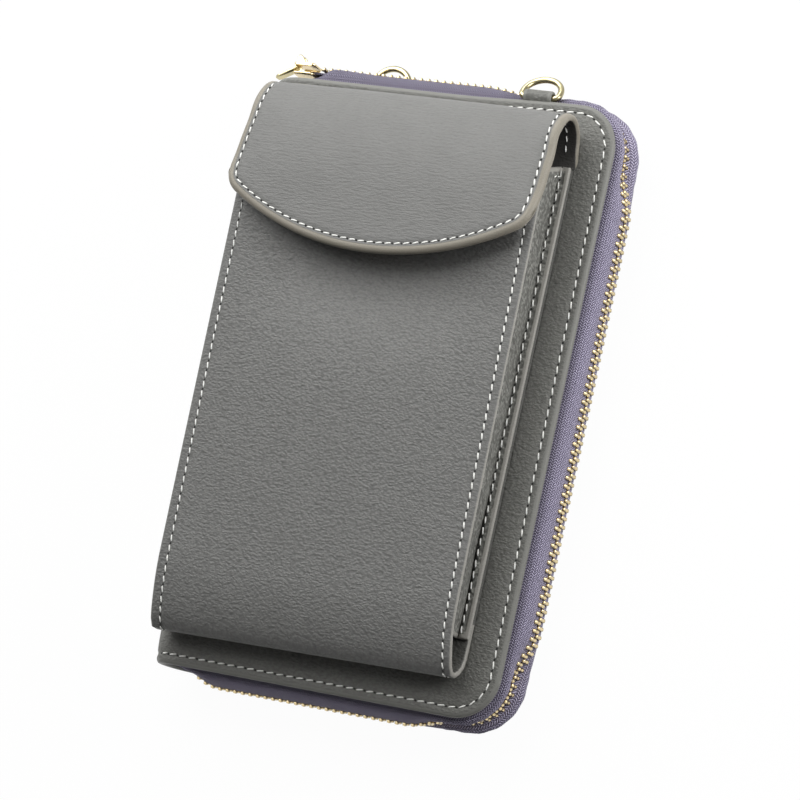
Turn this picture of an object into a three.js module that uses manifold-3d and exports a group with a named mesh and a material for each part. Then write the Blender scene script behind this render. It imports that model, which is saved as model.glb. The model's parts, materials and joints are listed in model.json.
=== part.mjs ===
// Zip-around phone wallet, lying on its back: X to the zip side, Y to the ring end, Z out of the front.
// Millimetres. The back face lies on z = 0 and the wallet is centred on X and Y.
import * as THREE from 'three';
import { mergeVertices } from 'three/addons/utils/BufferGeometryUtils.js';
import Module from 'manifold-3d';

const wasm = await Module();
wasm.setup();

// Body of the wallet
const BODY_W = 114;
const BODY_H = 181;
const BODY_T = 22;
const CORNER_R = 13;
const GAP = 0.3;

// Layers of each half, from the outer face inwards
const LEATHER = 1.8;
const TURNED_EDGE = 1.8;
const TURNED_EDGE_W = 7.5;
const BOARD = 1.0;
const FOAM = 1.5;
const LINING = 0.5;
const BOARD_INSET = 9;
const LINING_INSET = 2;
const SPINE_LAP = 1;

// Zip round three sides: tape, teeth and how far the chain stands out from the covers
const TAPE = 0.7;
const TAPE_FLANGE = 7;
const TEETH_PITCH = 2.5;
const TEETH_T = 2.0;
const TEETH_W = 2.2;
const TOOTH_RISE = 1.1;
const CHAIN_SPLIT = 1.3;
const BULGE_TOP = 5.7;
const BULGE_SIDE = 4.0;
const BULGE_LOW = 3.3;
const BULGE_CORNER = -0.2;
const BULGE_EASE = 16;
const BULGE_END = 1.8;
const BULGE_END_EASE = 10;
const BELLY_FRONT = 1.6;
const BELLY_BACK = 2.8;
const BELLY_AT = 0.7;
const BELLY_DROP = 0.4;
const TAPE_STEPS = 64;
const ZIP_START_IN = 0.5;
const ZIP_END_IN = 4;
const STOP_L = 3.5;

// Zip slider and its pull
const SLIDER_L = 9;
const SLIDER_W = 7.2;
const SLIDER_PLATE = 1.0;
const SLIDER_BEFORE = 4;
const SLIDER_POST_L = 1.6;
const SLIDER_POST_W = 0.7;
const PULL_L = 10.5;
const PULL_W = 4.2;
const PULL_T = 1.0;
const PULL_EYE_R = 0.9;
const PULL_LUG = 0.9;
const PULL_LAP = 0.1;
const PULL_DROOP_DEG = 38;

// Rings and the leather loops that hold them
const RING_WIRE_R = 0.95;
const RING_W = 13.8;
const RING_H = 8.8;
const RING_FOOT = 0.9;
const RING_SHOULDER = 2;
const RING_LEAN_DEG = 31.8;
const RING_FRONT_IN = 27.4;
const RING_BACK_IN = 31;
const RING_FRONT_OUT = 2.7;
const RING_BACK_OUT = 3.5;
const RING_TAB_W = 9;
const RING_TAB_WALL = 0.85;
const RING_TAB_LEG = 1.1;
const RING_TAB_REACH = 6.5;

// Phone pocket on the front cover: one strip of leather with a gusset at each side
const STRIP = 1.6;
const POCKET_W = 97;
const POCKET_X = -2.5;
const POCKET_LOW_IN = 10;
const POCKET_DEPTH_TOP = 20;
const POCKET_DEPTH_LOW = 14.5;
const MOUTH_IN = 23;
const FOLD_TOP_IN = 4.7;
const FOLD_R = 8;
const FOLD_TAPER = 2;
const GUSSET_WALL = 1.2;
const GUSSET_INSET = 4.5;
const GUSSET_LIP = 0.5;
const GUSSET_UP = 4.75;
const HEM_RISE = 4.2;
const POCKET_LINING = 0.5;

// Flap over the pocket
const FLAP_SIDE_L = 15;
const FLAP_SAG = 17.3;
const FLAP_CREST_L = 7.5;
const FLAP_MOUTH_DROP = 1.5;
const FLAP_SHOULDER_UP = 4.5;
const FLAP_SHOULDER_DROP = 4.6;
const FLAP_TIP_DROP = 0.4;
const FLAP_TIP_HALF = 4;
const FLAP_LINING = 1.0;
const FLAP_LINING_L = 4.5;
const FLAP_LINING_EDGE = 1.5;
const SNAP_R = 6.5;
const SNAP_H = 0.8;
const SNAP_IN = 9.8;

// Card slots on the back lining
const CARD_SLOTS = 6;
const CARD_W = 92;
const CARD_X = 4;
const CARD_LEAF_H = 22;
const CARD_PITCH = 15;
const CARD_LEAF = 0.8;
const CARD_LOW_IN = 10.5;

// Coin pocket with its own zip, on the front lining
const COIN_W = 92;
const COIN_X = 4;
const COIN_H = 98;
const COIN_TOP_IN = 16.5;
const COIN_DEPTH = 3.2;
const COIN_WALL = 0.8;
const COIN_ZIP_IN = 14;
const COIN_ZIP_L = 80;
const COIN_SLOT_H = 9;
const COIN_TAPE = 0.6;
const COIN_TEETH_T = 1.4;
const COIN_TEETH_W = 1.5;
const COIN_SPLIT = 1.2;
const COIN_SLIDER_L = 8;
const COIN_SLIDER_W = 5.5;
const COIN_SLIDER_PLATE = 0.7;
const COIN_SLIDER_IN = 8;
const COIN_POST_W = 0.6;
const COIN_PULL_L = 11;
const COIN_PULL_W = 3.2;
const COIN_PULL_EYE_R = 0.6;

// Colours from the photograph
const COLOUR = {
  leather: 0x77766f,
  strip: 0x84837c,
  board: 0xb59a72,
  foam: 0xd9d6cc,
  lining: 0x3a3936,
  tape: 0x8a8598,
  brass: 0xd8b45a,
  gold: 0xe2cf96,
};

// Values worked out from the sizes above
const HALF_H = BODY_H / 2;
const EDGE_X = BODY_W / 2;
const SPINE_R = BODY_T / 2;
const FLAT_X = -EDGE_X + SPINE_R;
const MID_Z = BODY_T / 2;
const D_BOARD = LEATHER + GAP;
const D_FOAM = D_BOARD + BOARD + GAP;
const D_LINING = D_FOAM + FOAM + GAP;
const D_INSIDE = D_LINING + LINING;
const D_TAPE = D_LINING - GAP - TAPE / 2;
const D_CHAIN = MID_Z - CHAIN_SPLIT / 2 - TEETH_W;
const POCKET_Z = BODY_T + GAP;
const ZIP_START_X = FLAT_X + ZIP_START_IN;
const ZIP_END_X = FLAT_X + ZIP_END_IN;
const RING_FRONT_X = EDGE_X - RING_FRONT_IN;
const RING_BACK_X = -EDGE_X + RING_BACK_IN;
const POCKET_LOW_Y = -HALF_H + POCKET_LOW_IN;
const MOUTH_Y = HALF_H - MOUTH_IN;
const U_R = POCKET_DEPTH_LOW / 2;
const U_Y = POCKET_LOW_Y + U_R;
const U_Z = POCKET_Z + U_R;
const GUSSET_LOW_Y = U_Y + GUSSET_UP;
const FOLD_Y = HALF_H - FOLD_TOP_IN - FOLD_R - STRIP / 2;
const FOLD_Z = POCKET_Z + STRIP / 2 + FOLD_R;
const PANEL_SLOPE = (POCKET_DEPTH_TOP - POCKET_DEPTH_LOW) / (MOUTH_Y - U_Y);
const FLAP_SIDE_Y = MOUTH_Y - FLAP_SIDE_L;
const FLAP_TIP_Y = FLAP_SIDE_Y - FLAP_SAG;
const FLAP_CREST_Y = MOUTH_Y - FLAP_CREST_L;
const SNAP_Y = FLAP_TIP_Y + SNAP_IN;
const CARD_RISE = ((CARD_LEAF + GAP) * CARD_LEAF_H) / CARD_PITCH;
const COIN_TOP_Y = HALF_H - COIN_TOP_IN;
const COIN_ZIP_Y = COIN_TOP_Y - COIN_ZIP_IN;

const wallet = new THREE.Group();

// Adds one named solid to the wallet
function add(name, geometry, colour, roughness, metalness = 0) {
  const material = new THREE.MeshStandardMaterial({ color: colour, roughness, metalness });
  const mesh = new THREE.Mesh(geometry, material);
  mesh.name = name;
  wallet.add(mesh);
  return mesh;
}

// Closed solid for the boolean steps
function solid(geometry) {
  const bare = geometry.clone();
  bare.deleteAttribute('normal');
  bare.deleteAttribute('uv');
  const welded = mergeVertices(bare, 1e-4);
  const mesh = new wasm.Mesh({
    numProp: 3,
    vertProperties: new Float32Array(welded.attributes.position.array),
    triVerts: new Uint32Array(welded.index.array),
  });
  return new wasm.Manifold(mesh);
}

// Geometry of a boolean result
function surface(manifold) {
  const mesh = manifold.getMesh();
  const geometry = new THREE.BufferGeometry();
  geometry.setAttribute('position', new THREE.BufferAttribute(new Float32Array(mesh.vertProperties), 3));
  geometry.setIndex(new THREE.BufferAttribute(new Uint32Array(mesh.triVerts), 1));
  geometry.computeVertexNormals();
  return geometry;
}

// One solid from several that touch or overlap
function joined(...geometries) {
  let whole = solid(geometries[0]);
  for (const geometry of geometries.slice(1)) whole = whole.add(solid(geometry));
  return surface(whole);
}

// First solid with the others cut away
function cut(first, ...tools) {
  let whole = solid(first);
  for (const tool of tools) whole = whole.subtract(solid(tool));
  return surface(whole);
}

// Box between two corners
function box(x0, x1, y0, y1, z0, z1) {
  const geometry = new THREE.BoxGeometry(x1 - x0, y1 - y0, z1 - z0);
  return geometry.translate((x0 + x1) / 2, (y0 + y1) / 2, (z0 + z1) / 2);
}

// Flat outline in XY raised from z0 to z1
function plate(shape, z0, z1) {
  const options = { depth: z1 - z0, bevelEnabled: false, curveSegments: 7 };
  return new THREE.ExtrudeGeometry(shape, options).translate(0, 0, z0);
}

// Profile of [y, z] points drawn along X
function alongX(points, x0, x1) {
  const shape = new THREE.Shape(points.map(([y, z]) => new THREE.Vector2(y, z)));
  const geometry = new THREE.ExtrudeGeometry(shape, { depth: x1 - x0, bevelEnabled: false });
  const turn = new THREE.Matrix4().makeBasis(
    new THREE.Vector3(0, 1, 0), new THREE.Vector3(0, 0, 1), new THREE.Vector3(1, 0, 0));
  return geometry.applyMatrix4(turn).translate(x0, 0, 0);
}

// Profile of [x, z] points drawn along Y
function alongY(points, y0, y1) {
  const shape = new THREE.Shape(points.map(([x, z]) => new THREE.Vector2(z, x)));
  const geometry = new THREE.ExtrudeGeometry(shape, { depth: y1 - y0, bevelEnabled: false });
  const turn = new THREE.Matrix4().makeBasis(
    new THREE.Vector3(0, 0, 1), new THREE.Vector3(1, 0, 0), new THREE.Vector3(0, 1, 0));
  return geometry.applyMatrix4(turn).translate(0, y0, 0);
}

// Points on an arc about [a, b], angles in degrees
function arc(a, b, radius, from, to, steps) {
  const points = [];
  for (let i = 0; i <= steps; i += 1) {
    const angle = THREE.MathUtils.degToRad(from + ((to - from) * i) / steps);
    points.push([a + radius * Math.cos(angle), b + radius * Math.sin(angle)]);
  }
  return points;
}

// Closed outline of a strip of the given thickness along a centre line
function ribbon(line, thickness) {
  const left = [];
  const right = [];
  line.forEach(([a, b], i) => {
    const before = line[Math.max(i - 1, 0)];
    const after = line[Math.min(i + 1, line.length - 1)];
    const run = Math.hypot(after[0] - before[0], after[1] - before[1]);
    const na = -(after[1] - before[1]) / run;
    const nb = (after[0] - before[0]) / run;
    left.push([a + (na * thickness) / 2, b + (nb * thickness) / 2]);
    right.push([a - (na * thickness) / 2, b - (nb * thickness) / 2]);
  });
  return left.concat(right.reverse());
}

// Closed skin over a row of rings with equal point counts, capped or joined end to end
function loft(rings, closed = false) {
  const size = rings[0].length;
  const index = [];
  const last = closed ? rings.length : rings.length - 1;
  for (let i = 0; i < last; i += 1) {
    const here = i * size;
    const next = ((i + 1) % rings.length) * size;
    for (let j = 0; j < size; j += 1) {
      const k = (j + 1) % size;
      index.push(here + j, next + j, next + k, here + j, next + k, here + k);
    }
  }
  if (!closed) {
    const end = (rings.length - 1) * size;
    for (const [a, b, c] of capFaces(rings[0])) index.push(a, b, c);
    for (const [a, b, c] of capFaces(rings[rings.length - 1])) index.push(end + c, end + b, end + a);
  }
  const geometry = new THREE.BufferGeometry();
  geometry.setAttribute('position', new THREE.Float32BufferAttribute(rings.flat(2), 3));
  geometry.setIndex(index);
  if (solid(geometry).volume() < 0) geometry.setIndex(index.reverse());
  geometry.computeVertexNormals();
  return geometry;
}

// Triangles of a flat ring, wound as the ring is
function capFaces(ring) {
  const [a, b, c] = [0, 1, 2].map((axis) => {
    const values = ring.map((point) => point[axis]);
    return Math.max(...values) - Math.min(...values);
  });
  const drop = [a, b, c].indexOf(Math.min(a, b, c));
  const keep = [[1, 2], [2, 0], [0, 1]][drop];
  const flat = ring.map((point) => new THREE.Vector2(point[keep[0]], point[keep[1]]));
  const faces = THREE.ShapeUtils.triangulateShape(flat, []);
  return THREE.ShapeUtils.isClockWise(flat) ? faces.map(([p, q, r]) => [p, r, q]) : faces;
}

// Height of a depth below the outer face of the front or back half
function level(side, depth) {
  return side === 'front' ? BODY_T - depth : depth;
}

// Cover outline: square at the spine, round at the zip side
function coverOutline(inset, left = FLAT_X) {
  const x = EDGE_X - inset;
  const y = HALF_H - inset;
  const r = Math.max(CORNER_R - inset, 1);
  const shape = new THREE.Shape();
  shape.moveTo(left, -y);
  shape.lineTo(x - r, -y);
  shape.absarc(x - r, -y + r, r, -Math.PI / 2, 0, false);
  shape.lineTo(x, y - r);
  shape.absarc(x - r, y - r, r, 0, Math.PI / 2, false);
  shape.lineTo(left, y);
  shape.closePath();
  return shape;
}

// Flat layer of one half, from one depth to another
function layer(side, shape, depth, thickness) {
  const z = [level(side, depth), level(side, depth + thickness)].sort((a, b) => a - b);
  return plate(shape, z[0], z[1]);
}

// Outer leather of one half: the cover, its turned edge and its quarter of the rounded spine
function cover(side) {
  const [from, to] = side === 'front' ? [90, 180] : [270, 180];
  const split = THREE.MathUtils.radToDeg(GAP / 2 / SPINE_R) * (side === 'front' ? -1 : 1);
  const outer = arc(FLAT_X, MID_Z, SPINE_R, from, to + split, 10);
  const inner = arc(FLAT_X, MID_Z, SPINE_R - LEATHER, from, to + split, 10).reverse();
  const lap = [[FLAT_X + SPINE_LAP, level(side, LEATHER)], [FLAT_X + SPINE_LAP, level(side, 0)]];
  const spine = alongY([...outer, ...inner, ...lap], -HALF_H, HALF_H);
  const inside = coverOutline(TURNED_EDGE_W, FLAT_X - TURNED_EDGE_W);
  const face = layer(side, coverOutline(0), 0, LEATHER);
  const rim = layer(side, coverOutline(0, FLAT_X + LEATHER), LEATHER / 2, LEATHER / 2 + TURNED_EDGE);
  const hollow = layer(side, inside, LEATHER, LEATHER + TURNED_EDGE);
  const tabHalf = RING_TAB_W / 2 + GAP;
  const tabX = side === 'front' ? RING_FRONT_X : RING_BACK_X;
  const notchZ = [level(side, LEATHER), level(side, LEATHER + 2 * TURNED_EDGE)].sort((a, b) => a - b);
  const notch = box(tabX - tabHalf, tabX + tabHalf, HALF_H - BOARD_INSET, HALF_H + GAP, notchZ[0], notchZ[1]);
  return joined(face, cut(rim, hollow, notch), spine);
}

for (const side of ['back', 'front']) {
  add(`${side}_cover`, cover(side), COLOUR.leather, 0.6);
  const boardLeft = FLAT_X + GAP;
  add(`${side}_stiffener`, layer(side, coverOutline(BOARD_INSET, boardLeft), D_BOARD, BOARD), COLOUR.board, 0.9);
  add(`${side}_padding`, layer(side, coverOutline(BOARD_INSET, boardLeft), D_FOAM, FOAM), COLOUR.foam, 1.0);
  add(`${side}_lining`, layer(side, coverOutline(LINING_INSET, boardLeft), D_LINING, LINING), COLOUR.lining, 0.9);
}

// Zip path round the covers: top run, corner, side run, corner, bottom run
const TOP_RUN = EDGE_X - CORNER_R - ZIP_START_X;
const CORNER_RUN = (Math.PI / 2) * CORNER_R;
const SIDE_RUN = BODY_H - 2 * CORNER_R;
const LOW_RUN = EDGE_X - CORNER_R - ZIP_END_X;
const ZIP_RUN = TOP_RUN + 2 * CORNER_RUN + SIDE_RUN + LOW_RUN;

// Smooth step from 0 to 1
function ease(value) {
  const t = THREE.MathUtils.clamp(value, 0, 1);
  return t * t * (3 - 2 * t);
}

// Foot of the zip on the cover's edge, its outward direction and the chain's distance from it
function zipStation(s) {
  const side0 = TOP_RUN + CORNER_RUN;
  const low0 = side0 + SIDE_RUN + CORNER_RUN;
  const cx = EDGE_X - CORNER_R;
  const cy = HALF_H - CORNER_R;
  const swell = (mid, room) => BULGE_CORNER + (mid - BULGE_CORNER) * ease(room / BULGE_EASE);
  if (s < TOP_RUN) {
    return { x: ZIP_START_X + s, y: HALF_H, nx: 0, ny: 1, out: swell(BULGE_TOP, TOP_RUN - s) };
  }
  if (s < side0) {
    const a = Math.PI / 2 - (s - TOP_RUN) / CORNER_R;
    return cornerStation(cx, cy, a);
  }
  if (s < side0 + SIDE_RUN) {
    const t = s - side0;
    return { x: EDGE_X, y: cy - t, nx: 1, ny: 0, out: swell(BULGE_SIDE, Math.min(t, SIDE_RUN - t)) };
  }
  if (s < low0) {
    const a = -(s - side0 - SIDE_RUN) / CORNER_R;
    return cornerStation(cx, -cy, a);
  }
  const t = s - low0;
  const tuck = (BULGE_LOW - BULGE_END) * (1 - ease((LOW_RUN - t) / BULGE_END_EASE));
  return { x: cx - t, y: -HALF_H, nx: 0, ny: -1, out: swell(BULGE_LOW, t) - tuck };
}

// Station on a rounded corner of the cover
function cornerStation(cx, cy, angle) {
  const nx = Math.cos(angle);
  const ny = Math.sin(angle);
  return { x: cx + CORNER_R * nx, y: cy + CORNER_R * ny, nx, ny, out: BULGE_CORNER };
}

// Ring of points at a station from [outward, depth] pairs
function zipRing(side, station, pairs) {
  return pairs.map(([out, depth]) => [
    station.x + station.nx * out,
    station.y + station.ny * out,
    level(side, depth),
  ]);
}

// Tape half: sewn flange under the cover, then out and in to the chain
function zipTape(side) {
  const rings = [];
  for (let i = 0; i <= TAPE_STEPS; i += 1) {
    const station = zipStation((ZIP_RUN * i) / TAPE_STEPS);
    const out = station.out;
    const drop = D_CHAIN - GAP - D_TAPE;
    const belly = side === 'front' ? BELLY_FRONT : BELLY_BACK;
    const line = [
      [-TAPE_FLANGE, D_TAPE],
      [TAPE, D_TAPE],
      [Math.max(TAPE + (out - TAPE) * BELLY_AT, belly), D_TAPE + drop * BELLY_DROP],
      [out, D_CHAIN - GAP],
    ];
    rings.push(zipRing(side, station, ribbon(line, TAPE)));
  }
  return loft(rings);
}

// Row of teeth: a bead whose inner face rises and falls once per tooth
function zipTeeth(side) {
  const rings = [];
  const count = Math.floor((2 * ZIP_RUN) / TEETH_PITCH);
  for (let i = 0; i <= count; i += 1) {
    const station = zipStation((i * TEETH_PITCH) / 2);
    const shift = side === 'front' ? 0 : 1;
    const tip = D_CHAIN + TEETH_W - ((i + shift) % 2) * TOOTH_RISE;
    const [low, high] = [station.out - TEETH_T / 2, station.out + TEETH_T / 2];
    rings.push(zipRing(side, station, [[low, D_CHAIN], [low, tip], [high, tip], [high, D_CHAIN]]));
  }
  return loft(rings);
}

for (const side of ['back', 'front']) {
  add(`zip_tape_${side}`, zipTape(side), COLOUR.tape, 0.9);
  add(`zip_teeth_${side}`, zipTeeth(side), COLOUR.brass, 0.35, 1);
}

// Metal stop across the end of the chain at the spine
const stopOut = zipStation(ZIP_RUN).out;
const stopHigh = -HALF_H - stopOut + TEETH_T / 2;
const stopLow = -HALF_H - stopOut - TEETH_T / 2;
add('zip_bottom_stop',
  box(ZIP_END_X - GAP - STOP_L, ZIP_END_X - GAP, stopLow, stopHigh, D_CHAIN, BODY_T - D_CHAIN),
  COLOUR.brass, 0.35, 1);

// Slider on the top run: two plates, the wedge post between them and two lugs for the pull
const CHAIN_Y = HALF_H + BULGE_TOP;
const PLATE_IN = CHAIN_Y - TEETH_T / 2 - GAP;
const PLATE_OUT = CHAIN_Y + TEETH_T / 2 + GAP;
const SLIDER_LEFT = ZIP_START_X - SLIDER_BEFORE - SLIDER_L / 2;
const EYE_X = SLIDER_LEFT + GAP;
const EYE_Y = PLATE_OUT + SLIDER_PLATE + GAP + PULL_EYE_R;

function zipSlider() {
  const [x0, x1] = [SLIDER_LEFT, SLIDER_LEFT + SLIDER_L];
  const [z0, z1] = [MID_Z - SLIDER_W / 2, MID_Z + SLIDER_W / 2];
  const postWide = SLIDER_POST_W / 2;
  const lugNear = PULL_W / 2 - PULL_LUG;
  const pieces = [
    box(x0, x1, PLATE_OUT, PLATE_OUT + SLIDER_PLATE, z0, z1),
    box(x0, x1, PLATE_IN - SLIDER_PLATE, PLATE_IN, z0, z1),
    box(x0, x0 + SLIDER_POST_L, PLATE_IN - GAP, PLATE_OUT + GAP, MID_Z - postWide, MID_Z + postWide),
  ];
  for (const way of [-1, 1]) {
    const z = [MID_Z + way * lugNear, MID_Z + way * (lugNear + PULL_LUG)].sort((a, b) => a - b);
    pieces.push(box(EYE_X - PULL_EYE_R, EYE_X + PULL_EYE_R, PLATE_OUT, EYE_Y + PULL_EYE_R, z[0], z[1]));
  }
  return joined(...pieces);
}

// Pull: an eye between the lugs and a flat tab that hangs past the spine
function pullTab(length, width, eyeR, thickness, eyeW, reach) {
  const eye = new THREE.CylinderGeometry(eyeR, eyeR, eyeW, 12).rotateX(Math.PI / 2);
  const neck = box(-reach, 0, -thickness / 2, thickness / 2, -eyeW / 2, eyeW / 2);
  const tab = box(-length, -reach, -thickness / 2, thickness / 2, -width / 2, width / 2);
  return joined(eye, neck, tab.translate(PULL_LAP, 0, 0));
}

add('zip_slider', zipSlider(), COLOUR.brass, 0.3, 1);
const pullEyeW = PULL_W - 2 * PULL_LUG - 2 * GAP;
const pull = add('zip_pull',
  pullTab(PULL_L, PULL_W, PULL_EYE_R - GAP / 2, PULL_T, pullEyeW, PULL_EYE_R * Math.SQRT2 + GAP),
  COLOUR.brass, 0.3, 1);
pull.position.set(EYE_X, EYE_Y, MID_Z);
pull.rotation.z = THREE.MathUtils.degToRad(PULL_DROOP_DEG);

// Ring loop: a leg sewn under the cover's top edge and a rolled eye for the ring's bar
const RING_D = D_BOARD + RING_TAB_LEG / 2;
const TAB_EYE_R = RING_WIRE_R + GAP + RING_TAB_WALL;

function ringTab(out) {
  const lean = THREE.MathUtils.radToDeg(Math.asin(RING_TAB_LEG / 2 / TAB_EYE_R));
  const outline = arc(0, 0, TAB_EYE_R, -180 + lean, 180 - lean, 22);
  const leg = -out - RING_TAB_REACH;
  const around = [...outline, [leg, RING_TAB_LEG / 2], [leg, -RING_TAB_LEG / 2]];
  const shape = alongX(around, -RING_TAB_W / 2, RING_TAB_W / 2);
  const bore = alongX(arc(0, 0, RING_WIRE_R + GAP, 0, 345, 23), -RING_TAB_W, RING_TAB_W);
  return cut(shape, bore);
}

// Ring: a straight bar closed by a half ellipse
function dRing(lean) {
  const half = RING_W / 2 - RING_WIRE_R;
  const high = RING_H - RING_WIRE_R;
  const bar = RING_TAB_W / 2 + GAP;
  const line = [[-bar, 0], [0, 0], [bar, 0], [half, RING_FOOT]];
  for (let i = 1; i < 16; i += 1) {
    const angle = (Math.PI * i) / 16;
    line.push([half * Math.cos(angle), RING_SHOULDER + (high - RING_SHOULDER) * Math.sin(angle)]);
  }
  line.push([-half, RING_FOOT]);
  const rings = line.map(([x, y], i) => {
    const before = line[(i + line.length - 1) % line.length];
    const after = line[(i + 1) % line.length];
    const run = Math.hypot(after[0] - before[0], after[1] - before[1]);
    const [nx, ny] = [(after[1] - before[1]) / run, -(after[0] - before[0]) / run];
    return arc(0, 0, RING_WIRE_R, 0, 315, 7).map(([a, b]) => [x + nx * a, y + ny * a, b]);
  });
  return loft(rings, true).rotateX(THREE.MathUtils.degToRad(lean));
}

const RINGS = [
  { side: 'back', x: RING_BACK_X, out: RING_BACK_OUT, lean: 0 },
  { side: 'front', x: RING_FRONT_X, out: RING_FRONT_OUT, lean: -RING_LEAN_DEG },
];
for (const { side, x, out, lean } of RINGS) {
  const place = [x, HALF_H + out, level(side, RING_D)];
  add(`${side}_ring_tab`, ringTab(out), COLOUR.leather, 0.6).position.set(...place);
  add(`${side}_ring`, dRing(lean), COLOUR.gold, 0.25, 1).position.set(...place);
}

// Phone pocket: front panel with the turn at the bottom, back panel, gussets and lining
const POCKET_L = POCKET_X - POCKET_W / 2;
const POCKET_R = POCKET_X + POCKET_W / 2;

// Height of the front panel's outer face above the table
function panelZ(y) {
  return POCKET_Z + POCKET_DEPTH_LOW + (y - U_Y) * PANEL_SLOPE;
}

const turn = arc(U_Y, U_Z, U_R - STRIP / 2, 90, 270, 12);
const frontLine = [[MOUTH_Y, panelZ(MOUTH_Y) - STRIP / 2], ...turn];
add('pocket_front', alongX(ribbon(frontLine, STRIP), POCKET_L, POCKET_R), COLOUR.strip, 0.55);
add('pocket_back',
  box(POCKET_L, POCKET_R, U_Y + GAP, FOLD_Y - GAP, POCKET_Z, POCKET_Z + STRIP), COLOUR.strip, 0.55);
const fold = arc(FOLD_Y, FOLD_Z, FOLD_R, -90, 90, 14);
add('flap_fold', alongX(ribbon(fold, STRIP), POCKET_L + FOLD_TAPER, POCKET_R - FOLD_TAPER), COLOUR.strip, 0.55);

// Gusset: a channel open to the outside, deeper at the mouth
function gusset(way) {
  const wall = POCKET_W / 2 - GUSSET_INSET;
  const lip = POCKET_W / 2 - GUSSET_LIP;
  const low = POCKET_Z + STRIP + GAP;
  const ring = (y, rise) => {
    const high = panelZ(y) - STRIP - GAP;
    return [
      [lip, low], [wall - GUSSET_WALL, low], [wall - GUSSET_WALL, high], [lip, high],
      [lip, high - GUSSET_WALL], [wall, high - GUSSET_WALL], [wall, low + GUSSET_WALL], [lip, low + GUSSET_WALL],
    ].map(([x, z]) => [POCKET_X + way * x, y + (rise * (high - z)) / (high - low), z]);
  };
  return loft([ring(GUSSET_LOW_Y, 0), ring(MOUTH_Y, HEM_RISE)]);
}

add('gusset_left', gusset(-1), COLOUR.strip, 0.6);
add('gusset_right', gusset(1), COLOUR.strip, 0.6);
const liningHalf = POCKET_W / 2 - GUSSET_INSET - GUSSET_WALL - GAP;
add('pocket_lining',
  box(POCKET_X - liningHalf, POCKET_X + liningHalf, GUSSET_LOW_Y, MOUTH_Y,
    POCKET_Z + STRIP + GAP, POCKET_Z + STRIP + GAP + POCKET_LINING), COLOUR.lining, 0.9);

// Flap: down from the fold, out over the pocket's mouth, then along the front panel
const SNAP_STACK = GAP / 2 + 2 * SNAP_H + GAP;
const FLAP_Z = panelZ(SNAP_Y) + SNAP_STACK + GAP + FLAP_LINING + GAP + STRIP / 2;
const FLAP_LINE = new THREE.SplineCurve([
  new THREE.Vector2(FOLD_Y - GAP, FOLD_Z + FOLD_R),
  new THREE.Vector2(MOUTH_Y + FLAP_SHOULDER_UP, FLAP_Z - FLAP_SHOULDER_DROP),
  new THREE.Vector2(MOUTH_Y, FLAP_Z - FLAP_MOUTH_DROP),
  new THREE.Vector2(FLAP_CREST_Y, FLAP_Z),
  new THREE.Vector2(FLAP_SIDE_Y, FLAP_Z),
  new THREE.Vector2(FLAP_TIP_Y, FLAP_Z - FLAP_TIP_DROP),
]);

// Half width of the flap at a height: straight sides, then one long arc at the bottom
function flapHalf(y, edge) {
  const draw = FOLD_TAPER * ease((y - FLAP_CREST_Y) / (FOLD_Y - FLAP_CREST_Y));
  const half = POCKET_W / 2 - edge - draw;
  const radius = (half * half + FLAP_SAG * FLAP_SAG) / (2 * FLAP_SAG);
  const drop = Math.max(FLAP_SIDE_Y - y, 0);
  if (drop <= 0) return half;
  const below = radius - (FLAP_SAG - drop);
  return Math.max(Math.sqrt(Math.max(radius * radius - below * below, 0)), FLAP_TIP_HALF);
}

// Sheet of the flap between two heights, sunk below the flap's centre line
function flapSheet(top, low, edge, sink, thickness) {
  const rings = [];
  const line = FLAP_LINE.getPoints(60).filter((point) => point.x <= top && point.x >= low);
  const keep = line.filter((_, i) => i % 2 === 0 || i === line.length - 1);
  keep.forEach((point, i) => {
    const before = keep[Math.max(i - 1, 0)];
    const after = keep[Math.min(i + 1, keep.length - 1)];
    const run = after.clone().sub(before).normalize();
    const [ny, nz] = [run.y, -run.x];
    const half = flapHalf(point.x - edge, edge);
    const corner = (x, t) => [POCKET_X + x, point.x + ny * t, point.y + nz * t];
    const [upper, under] = [thickness / 2 - sink, -thickness / 2 - sink];
    rings.push([corner(-half, under), corner(half, under), corner(half, upper), corner(-half, upper)]);
  });
  return loft(rings);
}

add('flap', flapSheet(FOLD_Y - GAP, FLAP_TIP_Y, 0, 0, STRIP), COLOUR.strip, 0.5);
const liningSink = STRIP / 2 + GAP + FLAP_LINING / 2;
add('flap_lining',
  flapSheet(MOUTH_Y - FLAP_LINING_L, FLAP_TIP_Y + FLAP_LINING_EDGE, FLAP_LINING_EDGE, liningSink, FLAP_LINING),
  COLOUR.strip, 0.6);

// Magnetic snap: socket on the pocket, stud under the flap
function snapDisc() {
  return new THREE.CylinderGeometry(SNAP_R, SNAP_R, SNAP_H, 24).rotateX(Math.PI / 2 + Math.atan(PANEL_SLOPE));
}
const socketZ = panelZ(SNAP_Y) + GAP / 2 + SNAP_H / 2;
add('snap_socket', snapDisc(), COLOUR.brass, 0.35, 1).position.set(POCKET_X, SNAP_Y, socketZ);
add('snap_stud', snapDisc(), COLOUR.brass, 0.35, 1).position.set(POCKET_X, SNAP_Y, socketZ + SNAP_H + GAP);

// Card slots: leaves that overlap like shingles, each open at its upper edge
for (let i = 0; i < CARD_SLOTS; i += 1) {
  const y0 = -HALF_H + CARD_LOW_IN + i * CARD_PITCH;
  const z0 = D_INSIDE + GAP;
  const profile = [
    [y0, z0], [y0 + CARD_LEAF_H, z0 + CARD_RISE],
    [y0 + CARD_LEAF_H, z0 + CARD_RISE + CARD_LEAF], [y0, z0 + CARD_LEAF],
  ];
  const leaf = alongX(profile, CARD_X - CARD_W / 2, CARD_X + CARD_W / 2);
  add(`card_slot_${i + 1}`, leaf, COLOUR.strip, 0.6);
}

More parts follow.
